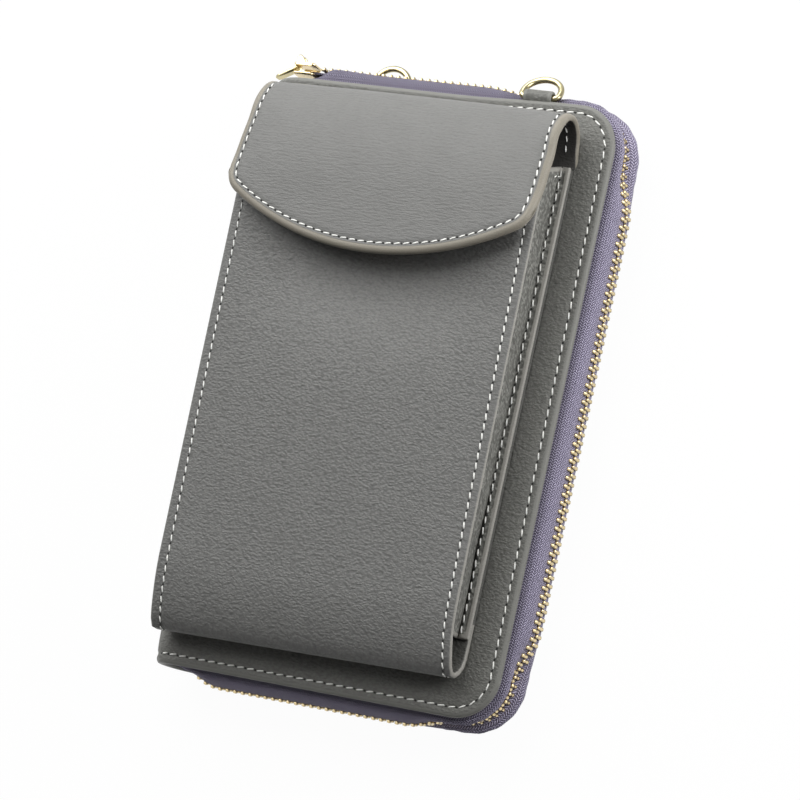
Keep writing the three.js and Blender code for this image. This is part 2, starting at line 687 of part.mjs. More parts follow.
// Coin pocket: a shallow tray under the front lining, slotted for its zip
const COIN_HIGH = BODY_T - D_INSIDE - GAP;
const COIN_FLOOR = COIN_HIGH - COIN_DEPTH;
const COIN_L = COIN_X - COIN_W / 2;
const COIN_R = COIN_X + COIN_W / 2;
const COIN_MID = COIN_FLOOR + COIN_WALL / 2;
const COIN_LOW_Y = COIN_TOP_Y - COIN_H;

function coinTray() {
  const block = box(COIN_L, COIN_R, COIN_LOW_Y, COIN_TOP_Y, COIN_FLOOR, COIN_HIGH);
  const hollow = box(COIN_L + COIN_WALL, COIN_R - COIN_WALL, COIN_LOW_Y + COIN_WALL, COIN_TOP_Y - COIN_WALL,
    COIN_FLOOR + COIN_WALL, COIN_HIGH + COIN_WALL);
  const slot = box(COIN_X - COIN_ZIP_L / 2, COIN_X + COIN_ZIP_L / 2, COIN_ZIP_Y - COIN_SLOT_H / 2,
    COIN_ZIP_Y + COIN_SLOT_H / 2, COIN_FLOOR - COIN_WALL, COIN_FLOOR + 2 * COIN_WALL);
  return cut(block, hollow, slot);
}

add('coin_pocket', coinTray(), COLOUR.lining, 0.9);
const coinZipX = [COIN_X - COIN_ZIP_L / 2 + GAP, COIN_X + COIN_ZIP_L / 2 - GAP];
for (const [place, way] of [['upper', 1], ['lower', -1]]) {
  const near = COIN_ZIP_Y + (way * COIN_SPLIT) / 2;
  const beside = near + way * COIN_TEETH_W;
  const teeth = [near, beside].sort((a, b) => a - b);
  const tape = [beside + way * GAP, COIN_ZIP_Y + way * (COIN_SLOT_H / 2 - GAP)].sort((a, b) => a - b);
  add(`coin_teeth_${place}`,
    box(coinZipX[0], coinZipX[1], teeth[0], teeth[1], COIN_MID - COIN_TEETH_T / 2, COIN_MID + COIN_TEETH_T / 2),
    COLOUR.brass, 0.35, 1);
  add(`coin_tape_${place}`,
    box(coinZipX[0], coinZipX[1], tape[0], tape[1], COIN_MID - COIN_TAPE / 2, COIN_MID + COIN_TAPE / 2),
    COLOUR.tape, 0.9);
}

// Coin zip slider and pull, on the side that faces the cards
const COIN_SLIDER_LEFT = COIN_X - COIN_ZIP_L / 2 + COIN_SLIDER_IN - COIN_SLIDER_L / 2;
const COIN_PLATE_OUT = COIN_MID - COIN_TEETH_T / 2 - GAP;
const COIN_PLATE_IN = COIN_MID + COIN_TEETH_T / 2 + GAP;
const COIN_EYE_X = COIN_SLIDER_LEFT + COIN_PULL_EYE_R;
const COIN_EYE_Z = COIN_PLATE_OUT - COIN_SLIDER_PLATE - GAP - COIN_PULL_EYE_R;

function coinSlider() {
  const [x0, x1] = [COIN_SLIDER_LEFT, COIN_SLIDER_LEFT + COIN_SLIDER_L];
  const [y0, y1] = [COIN_ZIP_Y - COIN_SLIDER_W / 2, COIN_ZIP_Y + COIN_SLIDER_W / 2];
  const lugNear = COIN_PULL_W / 2 - COIN_WALL;
  const pieces = [
    box(x0, x1, y0, y1, COIN_PLATE_OUT - COIN_SLIDER_PLATE, COIN_PLATE_OUT),
    box(x0, x1, y0, y1, COIN_PLATE_IN, COIN_PLATE_IN + COIN_SLIDER_PLATE),
    box(x0, x0 + SLIDER_POST_L, COIN_ZIP_Y - COIN_POST_W / 2, COIN_ZIP_Y + COIN_POST_W / 2,
      COIN_PLATE_OUT - GAP, COIN_PLATE_IN + GAP),
  ];
  for (const way of [-1, 1]) {
    const y = [COIN_ZIP_Y + way * lugNear, COIN_ZIP_Y + way * (lugNear + COIN_WALL)].sort((a, b) => a - b);
    pieces.push(box(x0, x0 + 2 * COIN_PULL_EYE_R, y[0], y[1], COIN_EYE_Z - COIN_PULL_EYE_R, COIN_PLATE_OUT));
  }
  return joined(...pieces);
}

add('coin_slider', coinSlider(), COLOUR.brass, 0.3, 1);
const coinEyeW = COIN_PULL_W - 2 * COIN_WALL - 2 * GAP;
const coinPull = add('coin_pull',
  pullTab(COIN_PULL_L, COIN_PULL_W, COIN_PULL_EYE_R - GAP / 2, COIN_PULL_EYE_R, coinEyeW,
    COIN_PULL_EYE_R * Math.SQRT2 + GAP),
  COLOUR.brass, 0.3, 1);
coinPull.rotation.x = Math.PI / 2;
coinPull.position.set(COIN_EYE_X, COIN_ZIP_Y, COIN_EYE_Z);

export default wallet;
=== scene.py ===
"""Looks of a zip-around phone wallet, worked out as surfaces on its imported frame. Shapes are in millimetres."""

import json
import math

import bmesh
import bpy
import numpy as np
from bpy.props import FloatProperty, FloatVectorProperty, PointerProperty
from mathutils import Matrix, Vector

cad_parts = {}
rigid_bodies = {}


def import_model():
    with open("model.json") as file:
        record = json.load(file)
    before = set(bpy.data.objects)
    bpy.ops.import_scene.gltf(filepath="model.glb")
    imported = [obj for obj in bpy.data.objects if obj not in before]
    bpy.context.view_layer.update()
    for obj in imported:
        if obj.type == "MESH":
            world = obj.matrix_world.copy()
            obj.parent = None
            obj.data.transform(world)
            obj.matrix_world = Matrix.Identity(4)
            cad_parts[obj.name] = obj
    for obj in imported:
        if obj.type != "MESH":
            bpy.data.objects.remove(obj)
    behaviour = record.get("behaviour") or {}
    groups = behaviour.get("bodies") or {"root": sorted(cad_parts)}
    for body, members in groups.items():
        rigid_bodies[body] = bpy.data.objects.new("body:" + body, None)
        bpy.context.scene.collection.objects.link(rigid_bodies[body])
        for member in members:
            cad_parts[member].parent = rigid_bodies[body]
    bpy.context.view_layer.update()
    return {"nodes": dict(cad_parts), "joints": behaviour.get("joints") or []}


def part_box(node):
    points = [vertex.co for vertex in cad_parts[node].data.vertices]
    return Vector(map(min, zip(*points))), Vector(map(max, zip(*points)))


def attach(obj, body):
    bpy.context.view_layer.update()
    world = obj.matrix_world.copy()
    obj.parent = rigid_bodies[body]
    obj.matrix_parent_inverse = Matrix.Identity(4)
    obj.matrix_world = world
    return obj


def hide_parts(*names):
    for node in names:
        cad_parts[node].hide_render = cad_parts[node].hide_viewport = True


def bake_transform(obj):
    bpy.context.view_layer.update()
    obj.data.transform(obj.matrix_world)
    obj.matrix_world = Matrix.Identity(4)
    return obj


bl_info = {
    "name": "Zip-around phone wallet",
    "version": (1, 0, 0),
    "blender": (4, 5, 0),
    "location": "3D View > Sidebar > Wallet",
    "description": "Dresses the frame of a phone wallet in leather, zips, rings, thread and lining",
    "category": "Object",
}

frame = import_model()
MM = 0.001


def corners_of(node):
    """Lowest and highest corner of a frame node, in millimetres."""
    return [np.array(corner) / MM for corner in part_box(node)]


def srgb(*levels):
    """Linear colour of 8-bit picture levels."""
    shares = np.array(levels) / 255
    return tuple(np.where(shares <= 0.04045, shares / 12.92, ((shares + 0.055) / 1.055) ** 2.4))


# Places taken from the frame
JOINT_AT = {joint["name"]: np.array(joint["pos_m"]) / MM for joint in frame["joints"] if "pos_m" in joint}
EDGE_X, HALF_H, BODY_T = corners_of("front_cover")[1]
MID_Z = BODY_T / 2
FLAT_X = MID_Z - EDGE_X
POCKET_LOW, POCKET_HIGH = corners_of("pocket_front")
BACK_LOW, BACK_HIGH = corners_of("pocket_back")
FOLD_LOW, FOLD_HIGH = corners_of("flap_fold")
FLAP_LOW, FLAP_HIGH = corners_of("flap")
POCKET_X = (POCKET_LOW[0] + POCKET_HIGH[0]) / 2
POCKET_HALF = (POCKET_HIGH[0] - POCKET_LOW[0]) / 2
STRIP = BACK_HIGH[2] - BACK_LOW[2]

# Sizes of the zip that the frame's boxes don't give. Teeth up to the slide's end are cut by a share of their length.
CORNER_R = 13.0
CHAIN_START_X = FLAT_X + 0.5
CHAIN_END_X = FLAT_X + 4.0
CHAIN_DEPTH = 8.15
CHAIN_HALF = MID_Z - CHAIN_DEPTH
CHAIN_LEAN = 0.18
TAPE_DEPTH = 4.55
TAPE_FLANGE = 7.7
TAPE_CURVE = 7.02
TAPE_WIDE = TAPE_FLANGE + TAPE_CURVE + (CHAIN_HALF - 0.12)
TAPE_TAIL = 7.0
TAPE_START = {"front": 0.0, "back": -5.5}
FIRST_TOOTH = {"front": 0.5, "back": 1.0}
SLIDE_END = 53.0
SLIDE_EASE = 8.0
SLIDE_CUT = 0.18
STOP_IN = 1.3
BULGE = {"top": 5.7, "side": 4.0, "low": 3.3, "corner": -0.2, "end": 1.8}
BULGE_EASE = 16.0
BULGE_TOP_EASE = 35.0
BULGE_END_EASE = 10.0
BELLY = {"front": 1.6, "back": 2.8}

# Stitches: arch as a share of the thread's half width, slant as a share of its length, width of the groove that they
# lie in and how far they stand out of it
STITCH_ARCH = 0.35
STITCH_SLANT = 0.16
GROOVE_W = 0.6
THREAD_PROUD = 0.1

# Thicknesses of the thin flat pieces, and the number of card slots
LINING = 0.5
COIN_TAPE = 0.6
COIN_WALL = 0.8
CARD = 0.8
CARD_SLOTS = 6

# Steps across a rounded edge and round a corner
ROUND_STEPS = 4
CORNER_STEPS = 9


# Sizes and colours that a user would change

def length(name, description, millimetres):
    """Length property with its default in millimetres."""
    return FloatProperty(name=name, description=description, default=millimetres * MM, min=0, unit="LENGTH",
                         precision=5)


def colour(name, description, *levels):
    """Colour property with its default in 8-bit picture levels."""
    return FloatVectorProperty(name=name, description=description, default=srgb(*levels), size=3, min=0, max=1,
                               subtype="COLOR")


class WalletSizes(bpy.types.PropertyGroup):
    """Sizes of the wallet's soft pieces."""
    cover: length("Cover", "Thickness of the cover with its turned edge", 3.2)
    strip: length("Pocket strip", "Thickness of the pocket's leather", 1.8)
    flap: length("Flap", "Thickness of the flap's leather", 2.8)
    edge_paint: length("Edge paint", "Width of the painted edge on the flap", 2.1)
    seam_inset: length("Seam inset", "Distance from a cover's edge to its stitches", 2.85)
    top_inset: length("Top inset", "The same at the ring end", 2.7)
    stitch_pitch: length("Stitch pitch", "Distance from one stitch to the next", 3.2)
    fine_pitch: length("Fine pitch", "The same on the pocket and flap", 2.85)
    stitch_length: length("Stitch length", "Length of the thread that shows", 2.2)
    thread: length("Thread", "Half width of the thread", 0.24)
    groove: length("Groove", "Depth that a seam draws into the leather", 0.3)
    tooth_pitch: length("Tooth pitch", "Distance between two teeth of one row", 2.5)
    tape: length("Tape", "Thickness of the zip tape", 0.7)
    ring_wire: length("Ring wire", "Radius of the rings' wire", 0.95)


class WalletColours(bpy.types.PropertyGroup):
    """Colours of the wallet's finishes."""
    leather: colour("Leather", "Grey leather of the covers", 104, 104, 100)
    flap: colour("Flap leather", "Grey leather of the pocket and flap", 108, 108, 106)
    paint: colour("Edge paint", "Painted edge of the flap", 136, 131, 120)
    # Pocket's edge colour: a dressed edge, painted lighter than the leather as a painted highlight on the rolled edge
    # and the gussets' flange edges
    panel_paint_and_highlight: colour("Panel edge", "Dressed edge of the pocket's leather", 154, 152, 146)
    thread: colour("Thread", "Stitches", 252, 252, 247)
    needle: colour("Needle hole", "Shade in the needle holes", 34, 34, 32)
    tape: colour("Tape", "Raised yarn of the zip tape", 174, 168, 190)
    tape_deep: colour("Tape gaps", "Gaps between the yarns", 68, 62, 84)
    lining: colour("Lining", "Woven lining", 58, 57, 55)
    brass: colour("Zip metal", "Plated teeth and sliders", 234, 214, 168)
    gold: colour("Ring metal", "Plated rings and pull", 204, 193, 152)
    foam: colour("Foam", "Padding in the covers", 214, 210, 198)
    board: colour("Board", "Stiffener in the covers", 170, 150, 118)


class WalletStage(bpy.types.PropertyGroup):
    """Camera and lights."""
    yaw: FloatProperty(name="Yaw", description="Turn to the zip side", default=0.42364, subtype="ANGLE")
    pitch: FloatProperty(name="Pitch", description="Rise towards the ring end", default=-0.15708, subtype="ANGLE")
    roll: FloatProperty(name="Roll", description="Turn of the picture", default=0.2193, subtype="ANGLE")
    distance: FloatProperty(name="Distance", description="Camera to aim point", default=1.0, unit="LENGTH")
    aim: FloatVectorProperty(name="Aim", description="Point that the camera looks at",
                             default=(0.008234, -0.002632, 0.022), size=3, subtype="XYZ", unit="LENGTH")
    lens: FloatProperty(name="Lens", description="Focal length in millimetres", default=154.5)
    key: FloatProperty(name="Key light", description="Power of the lamp above the picture", default=9.0)
    side: FloatProperty(name="Side light", description="Power of the low lamp on the zip side", default=1.45)
    low: FloatProperty(name="Low light", description="Power of the lamp below the picture", default=0.03)
    fill: FloatProperty(name="Fill", description="Level of the light from all round", default=0.06)


# Meshes

def unit(vectors):
    """Vectors at length 1."""
    return vectors / np.maximum(np.linalg.norm(vectors, axis=-1, keepdims=True), 1e-12)


def ease(share):
    """Smooth step from 0 to 1."""
    share = np.clip(share, 0, 1)
    return share * share * (3 - 2 * share)


def bell(offset, width):
    """Bell curve: 1 at no offset, falling away over a width on both sides."""
    return np.exp(-(offset / width) ** 2)


def round_angles(count):
    """Even angles once round."""
    return np.linspace(0, 2 * math.pi, count, endpoint=False)


def level(z):
    """Bend of a cut that lies flat at one height."""
    return lambda a, b: np.stack([a, b, z + 0 * a], axis=-1)


def grid_faces(rows, columns, first=0, wrap_rows=False, wrap_columns=False):
    """Quads of a grid of points numbered row by row, closed on itself where it wraps."""
    index = first + np.arange(rows * columns).reshape(rows, columns)
    if wrap_rows:
        index = np.concatenate([index, index[:1]], axis=0)
    if wrap_columns:
        index = np.concatenate([index, index[:, :1]], axis=1)
    quads = [index[:-1, :-1], index[1:, :-1], index[1:, 1:], index[:-1, 1:]]
    return np.stack(quads, axis=-1).reshape(-1, 4)


def put_object(name, data):
    """New object in the scene."""
    made = bpy.data.objects.new(name, data)
    bpy.context.scene.collection.objects.link(made)
    return made


def put_mesh(name, points, faces, finish, flat=None, marks=None):
    """New object at the origin from points in millimetres. flat holds the UV map in millimetres of the flat cut,
    marks the numbers per point that the finish reads. Points in one place are merged, which closes the seams."""
    points = np.asarray(points, float).reshape(-1, 3)
    mesh = bpy.data.meshes.new(name)
    mesh.from_pydata((points * MM).tolist(), [], np.asarray(faces).tolist())
    if flat is not None:
        corner = np.zeros(len(mesh.loops), np.int32)
        mesh.loops.foreach_get("vertex_index", corner)
        layer = mesh.uv_layers.new(name="flat")
        layer.uv.foreach_set("vector", np.asarray(flat, np.float32).reshape(-1, 2)[corner].ravel())
    for mark, values in (marks or {}).items():
        attribute = mesh.attributes.new(mark, "FLOAT", "POINT")
        attribute.data.foreach_set("value", np.asarray(values, np.float32).ravel())
    work = bmesh.new()
    work.from_mesh(mesh)
    bmesh.ops.remove_doubles(work, verts=work.verts, dist=1e-7)
    bmesh.ops.dissolve_degenerate(work, edges=work.edges, dist=1e-8)
    work.to_mesh(mesh)
    work.free()
    mesh.polygons.foreach_set("use_smooth", np.ones(len(mesh.polygons), bool))
    mesh.materials.append(finish)
    mesh.update()
    return put_object(name, mesh)


def spaced(low, high, edge, step, steps=ROUND_STEPS):
    """Positions from low to high: cosine steps across the rounded edge at each end, even steps between."""
    turn = edge * (1 - np.cos(np.linspace(0, math.pi / 2, steps + 1)))[:-1]
    count = max(int(round((high - low - 2 * edge) / step)), 1)
    even = np.linspace(low + edge, high - edge, count + 1)
    return np.concatenate([low + turn, even, (high - turn)[::-1]])


def box_rim(a, b, low, high, radius):
    """Distance inwards from the outline of a rectangle with round corners."""
    over_a = np.abs(a - (low[0] + high[0]) / 2) - (high[0] - low[0]) / 2 + radius
    over_b = np.abs(b - (low[1] + high[1]) / 2) - (high[1] - low[1]) / 2 + radius
    outside = np.hypot(np.maximum(over_a, 0), np.maximum(over_b, 0))
    return radius - outside - np.minimum(np.maximum(over_a, over_b), 0)


def rectangle_cut(low, high, radius, edge, step=4.0, steps=ROUND_STEPS):
    """Flat cut with round corners: rows at cosine steps through the corners, each drawn in along the corner's arc.
    Returns the two flat coordinates and the distance to the outline."""
    b = spaced(low[1], high[1], max(radius, edge), step, max(steps, CORNER_STEPS))
    near = np.minimum(np.minimum(b - low[1], high[1] - b), radius)
    inset = radius - np.sqrt(np.maximum(radius ** 2 - (radius - near) ** 2, 0))
    wide = high[0] - low[0]
    share = spaced(0, 1, edge / wide, step / wide, steps)[:, None]
    a = low[0] + inset + share * (wide - 2 * inset)
    b = np.broadcast_to(b, a.shape)
    return a, b, box_rim(a, b, low, high, radius)


def facing(bend, a, b, reach=0.15):
    """Direction that a bent cut faces, from its slopes along both flat coordinates."""
    across = bend(a + reach, b) - bend(a - reach, b)
    along = bend(a, b + reach) - bend(a, b - reach)
    return unit(np.cross(across, along))


def sheet(name, cut, bend, thickness, finish, dent=0.0, keep=None, paint_rim=None, under_rim=0.0):
    """Leather or cloth piece. The middle of the sheet is the bent cut. Each skin lies half the thickness from it,
    falling to nothing along a quarter round at the outline, and dent sinks the upper skin. The thickness is one number
    or one for each point of the cut. paint_rim stands in for the distance to the outline where not all of it is
    painted, and under_rim is added to it on the lower skin."""
    a, b, rim = cut
    middle = bend(a, b)
    normal = facing(bend, a, b)
    half = thickness / 2
    swell = half * np.sqrt(1 - (1 - np.clip(rim / half, 0, 1)) ** 2)
    swell[[0, -1], :] = 0
    swell[:, [0, -1]] = 0
    upper = middle + normal * (swell - dent * swell / half)[..., None]
    lower = middle - normal * swell[..., None]
    rows, columns = a.shape
    faces = grid_faces(rows, columns)
    if keep is not None:
        faces = faces[keep(a, b).ravel()[faces].all(axis=1)]
    faces = np.concatenate([faces, faces[:, ::-1] + rows * columns])
    flat = np.stack([a, b], axis=-1).reshape(-1, 2)
    skins = np.concatenate([upper.reshape(-1, 3), lower.reshape(-1, 3)])
    shown = rim if paint_rim is None else paint_rim
    shown = np.concatenate([shown.ravel(), shown.ravel() + under_rim])
    under = np.repeat([0.0, 1.0], rows * columns)
    used, faces = np.unique(faces, return_inverse=True)
    marks = {"rim": shown[used], "under": under[used]}
    return put_mesh(name, skins[used], faces.reshape(-1, 4), finish, np.concatenate([flat, flat])[used], marks)


def bent_line(points, soften=0.0):
    """Function from length along a line to its two coordinates, and the line's length. The line is resampled every
    fifth of a millimetre, averaged over the soften length and carried on straight past its ends."""
    points = np.asarray(points, float)
    run = np.concatenate([[0], np.cumsum(np.hypot(*np.diff(points, axis=0).T))])
    total = run[-1]
    at = np.linspace(0, total, int(total / 0.2) + 2)
    line = np.stack([np.interp(at, run, points[:, k]) for k in (0, 1)])
    window = int(soften / 0.2) | 1
    if window > 1:
        margin = window // 2
        before = line[:, :1] + (line[:, :1] - line[:, 1:margin + 1][:, ::-1])
        after = line[:, -1:] + (line[:, -1:] - line[:, -margin - 1:-1][:, ::-1])
        padded = np.concatenate([before, line, after], axis=1)
        line = np.stack([np.convolve(row, np.ones(window) / window, "valid") for row in padded])
    at = np.concatenate([[at[0] - 5], at, [at[-1] + 5]])
    slope = [(line[:, 1] - line[:, 0]) / (at[2] - at[1]), (line[:, -1] - line[:, -2]) / (at[-2] - at[-3])]
    line = np.concatenate([(line[:, 0] - 5 * slope[0])[:, None], line, (line[:, -1] + 5 * slope[1])[:, None]], axis=1)
    return lambda b: (np.interp(b, at, line[0]), np.interp(b, at, line[1])), total


def arc(centre, radius, start, stop, steps=24):
    """Points on an arc, angles in degrees."""
    angle = np.radians(np.linspace(start, stop, steps + 1))
    return np.stack([centre[0] + radius * np.cos(angle), centre[1] + radius * np.sin(angle)], axis=-1)


def along(points, at):
    """Points at lengths along a line of points."""
    run = np.concatenate([[0], np.cumsum(np.linalg.norm(np.diff(points, axis=0), axis=1))])
    return np.stack([np.interp(at, run, points[:, k]) for k in range(points.shape[1])], axis=-1)


def line_length(points):
    """Length of a line of points."""
    return np.linalg.norm(np.diff(points, axis=0), axis=1).sum()


def tube(name, path, radius, finish, across, sides=20):
    """Round wire along a closed flat path: rings of points at a radius from the path, in the plane of the path's normal
    and the across direction, with dark bands on both flanks that are a painted reflection."""
    tangent = unit(np.roll(path, -1, axis=0) - np.roll(path, 1, axis=0))
    outward = unit(np.cross(tangent, across))
    angle = round_angles(sides)
    ring = np.cos(angle)[None, :, None] * outward[:, None] + np.sin(angle)[None, :, None] * np.asarray(across)
    points = path[:, None] + radius * ring
    faces = grid_faces(len(path), sides, wrap_rows=True, wrap_columns=True)
    # Dark bands round the wire's flanks: a painted reflection, laid into the metal's colour
    dull = 0.75 * bell(np.abs(np.cos(angle)) - 0.75, 0.2)
    return put_mesh(name, points, faces, finish, marks={"dull": np.broadcast_to(dull, points.shape[:2])})


def turned(name, profile, centre, axis, finish, sides=40):
    """Turned piece: a profile of radius and height carried round an axis. It starts and ends on the axis."""
    axis = unit(np.asarray(axis, float))
    first = unit(np.cross(axis, [1.0, 0.0, 0.0]))
    second = np.cross(axis, first)
    angle = round_angles(sides)
    round_it = np.cos(angle)[:, None] * first + np.sin(angle)[:, None] * second
    profile = np.asarray(profile, float)
    points = centre + profile[:, None, :1] * round_it[None] + profile[:, None, 1:] * axis
    return put_mesh(name, points, grid_faces(len(profile), sides, wrap_columns=True), finish)


def copies(template, faces, places, first, second, third):
    """Points and faces of a template set at each place along three directions there."""
    points = places[:, None] + (template[None, :, 0:1] * first[:, None] + template[None, :, 1:2] * second[:, None]
                                + template[None, :, 2:3] * third[:, None])
    shift = len(template) * np.arange(len(places))[:, None, None]
    return points.reshape(-1, 3), (faces[None] + shift).reshape(-1, 4)


def bead(half_length, half_width, half_height, rings, sides):
    """Bead with blunt ends: rings along its length, each as large as the root of one less its place to the fourth."""
    place = -np.cos(np.linspace(0, math.pi, rings))
    size = np.maximum(1 - place ** 4, 0) ** 0.5
    angle = round_angles(sides)
    points = np.stack(np.broadcast_arrays(half_length * place[:, None],
                                          half_width * size[:, None] * np.cos(angle),
                                          half_height * size[:, None] * np.sin(angle)), axis=-1)
    return points.reshape(-1, 3), grid_faces(rings, sides, wrap_columns=True)


def seam(name, bend, path, lift, finish, body, pitch=None):
    """Row of stitches along a flat path on a bent cut: arched beads of thread that slant a little, with a dark needle
    hole between each two. Without a body, they are hung on no body."""
    sizes = bpy.context.scene.wallet_sizes
    usual = sizes.stitch_pitch / MM
    pitch = pitch or usual
    half = sizes.stitch_length / MM / 2 * (pitch / usual)
    path = np.asarray(path, float)
    count = max(int(line_length(path) / pitch), 1)
    at = (np.arange(count) + 0.5) * line_length(path) / count
    rows = {}
    for mark, shift in (("stitch", 0.0), ("hole", pitch / 2)):
        spot, ahead, behind = (along(path, at + shift + step).T for step in (0.0, 0.05, -0.05))
        normal = facing(bend, *spot)
        tangent = unit(bend(*ahead) - bend(*behind))
        rows[mark] = (bend(*spot) + normal * lift, tangent, unit(np.cross(normal, tangent)), normal)
    radius = sizes.thread / MM
    thread, thread_faces = bead(half, radius, radius * 0.8, 7, 6)
    thread[:, 2] += STITCH_ARCH * radius * (1 - (thread[:, 0] / half) ** 2) - 0.1 * radius
    thread[:, 1] += STITCH_SLANT * thread[:, 0]
    # Dark bead in each needle hole: painted shade
    hole, hole_faces = bead(pitch * 0.12, radius * 1.3, 0.09, 5, 8)
    threads, quads = copies(thread, thread_faces, *rows["stitch"])
    holes, hole_quads = copies(hole, hole_faces, *rows["hole"])
    marks = {"hole": np.repeat([0.0, 1.0], [len(threads), len(holes)])}
    quads = np.concatenate([quads, hole_quads + len(threads)])
    piece = put_mesh(name, np.concatenate([threads, holes]), quads[:, ::-1], finish["thread"], marks=marks)
    if body:
        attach(piece, body)
    return piece


# Finishes

def math_node(operation):
    """Method that adds a Math node to a value's finish."""
    def method(self, *others):
        return self.finish.node("ShaderNodeMath", {"operation": operation}, dict(enumerate((self, *others))))

    return method


class Value:
    """Socket of a finish with the arithmetic that its pattern needs. Each expression adds a Math node."""
    __add__ = __radd__ = math_node("ADD")
    __sub__ = math_node("SUBTRACT")
    __mul__ = __rmul__ = math_node("MULTIPLY")
    __truediv__ = math_node("DIVIDE")
    __pow__ = math_node("POWER")
    __mod__ = math_node("FLOORED_MODULO")
    floor = math_node("FLOOR")
    sine = math_node("SINE")
    absolute = math_node("ABSOLUTE")

    def __init__(self, finish, socket):
        self.finish = finish
        self.socket = socket

    def __rsub__(self, other):
        return self.finish.node("ShaderNodeMath", {"operation": "SUBTRACT"}, {0: other, 1: self})

    def wave(self):
        """0 to 1 and back once per unit."""
        return (self * (2 * math.pi)).sine() * 0.5 + 0.5

    def between(self, low, high):
        """0 below low, 1 above high and straight between."""
        links = {"Value": self, "From Min": low, "From Max": high}
        return self.finish.node("ShaderNodeMapRange", {"clamp": True}, links)


class Finish:
    """Material with one main shader, whose other nodes come from one method."""

    def __init__(self, name, **constants):
        self.material = bpy.data.materials.new(name)
        self.material.use_nodes = True
        self.tree = self.material.node_tree
        self.shader = self.tree.nodes["Principled BSDF"]
        for socket, value in constants.items():
            self.shader.inputs[socket.replace("_", " ")].default_value = value

    def node(self, kind, settings=None, links=None, output=0):
        """Adds a node: its settings first, then a value or a link for each socket."""
        made = self.tree.nodes.new(kind)
        for key, value in (settings or {}).items():
            setattr(made, key, value)
        for socket, value in (links or {}).items():
            self.join(made.inputs[socket], value)
        return Value(self, made.outputs[output])

    def join(self, socket, value):
        """Links a value to a socket, or sets the socket."""
        if isinstance(value, Value):
            self.tree.links.new(value.socket, socket)
        elif hasattr(value, "__len__") and len(value) == 3 and len(socket.default_value) == 4:
            socket.default_value = (*value, 1.0)
        else:
            socket.default_value = value

    def feed(self, socket, value):
        """Links a value to the main shader."""
        self.join(self.shader.inputs[socket], value)

    def flat(self):
        """Place on the flat cut, in millimetres, and its two coordinates."""
        place = self.node("ShaderNodeUVMap", {"uv_map": "flat"})
        split = self.node("ShaderNodeSeparateXYZ", links={0: place})
        return place, split, Value(self, split.socket.node.outputs[1])

    def place(self):
        """Place in the wallet, in metres."""
        return self.node("ShaderNodeTexCoord", output=3)

    def scaled(self, vector, *factors):
        """Vector times one factor along each axis."""
        return self.node("ShaderNodeVectorMath", {"operation": "MULTIPLY"}, {0: vector, 1: factors})

    def noise(self, vector, scale, detail=2.0):
        return self.node("ShaderNodeTexNoise", links={"Vector": vector, "Scale": scale, "Detail": detail})

    def cells(self, vector, scale, feature="F1"):
        return self.node("ShaderNodeTexVoronoi", {"feature": feature}, {"Vector": vector, "Scale": scale})

    def mark(self, name):
        """Number stored on the mesh."""
        return self.node("ShaderNodeAttribute", {"attribute_name": name}, output=2)

    def mix(self, share, first, second):
        """Colour between two colours."""
        return self.node("ShaderNodeMix", {"data_type": "RGBA"}, {0: share, 6: first, 7: second}, output=2)

    def bump(self, height, depth_mm, strength=1.0):
        links = {"Height": height, "Distance": depth_mm * MM, "Strength": strength}
        self.feed("Normal", self.node("ShaderNodeBump", links=links))


def shade(levels, share):
    """Colour times a share."""
    return tuple(min(level * share, 1.0) for level in levels)


def leather_finish(name, base, paint, paint_width, pebble, wrinkle, under=None, depth=0.28, size=1.0):
    """Grained leather: rounded pebbles under a millimetre wide, fine creases that run across the cut, slow changes of
    tone, and a dressed edge up to a distance from the outline. The flesh side can have a colour of its own. The colour
    is painted darker between the pebbles and in the creases as painted shade, and lighter on the pebbles' tops as a
    painted highlight: depth is how strong this is, and size how large the pebbles are."""
    finish = Finish(name, Specular_IOR_Level=0.24)
    flat, _, _ = finish.flat()
    swirl = finish.noise(finish.scaled(flat, 0.1, 0.1, 1.0), 1.0, 3.0)
    drift = finish.node("ShaderNodeTexNoise", links={"Vector": flat, "Scale": 0.5}, output=1)
    warp = finish.scaled(drift, 1.2, 1.2, 0.0)
    warped = finish.node("ShaderNodeVectorMath", {"operation": "ADD"}, {0: flat, 1: warp})
    cells = finish.cells(finish.scaled(warped, 0.85 / size, 1.2 / size, 1.0), 1.35, "SMOOTH_F1")
    fine = finish.noise(flat, 3.2, 3.0)
    creases = finish.noise(finish.scaled(flat, 0.3, 1.7, 1.0), 1.0, 4.0)
    grain = cells * (-pebble) + fine * 0.35 + creases * wrinkle
    # Edge colour: edge paint on the flap; on the covers a painted highlight along the rounded edge, and on the pocket
    # and gussets a dressed edge painted lighter as a painted highlight
    painted = 1 - finish.mark("rim").between(paint_width - 0.15, paint_width + 0.15)
    # Painted shade between the pebbles and in the creases, painted highlight on the pebbles' tops
    deep = (cells * pebble * 1.4 + (1 - creases) * wrinkle * 0.7).between(0.35, 1.05)
    tone = finish.mix(deep, shade(base, 1 + depth / 2), shade(base, 1 - depth))
    tone = finish.mix(swirl.between(0.4, 0.7) * 0.3, tone, shade(base, 0.9))
    if under:
        tone = finish.mix(finish.mark("under"), tone, under)
    wear_and_shade = finish.mix(fine.between(0.35, 0.75), shade(paint, 0.88), shade(paint, 1.08))
    finish.feed("Base Color", finish.mix(painted, tone, wear_and_shade))
    finish.feed("Roughness", (0.4 + 0.16 * fine) * (1 - painted) + painted * 0.42)
    finish.bump(grain * (1 - 0.85 * painted), 0.4, 0.9)
    return finish.material


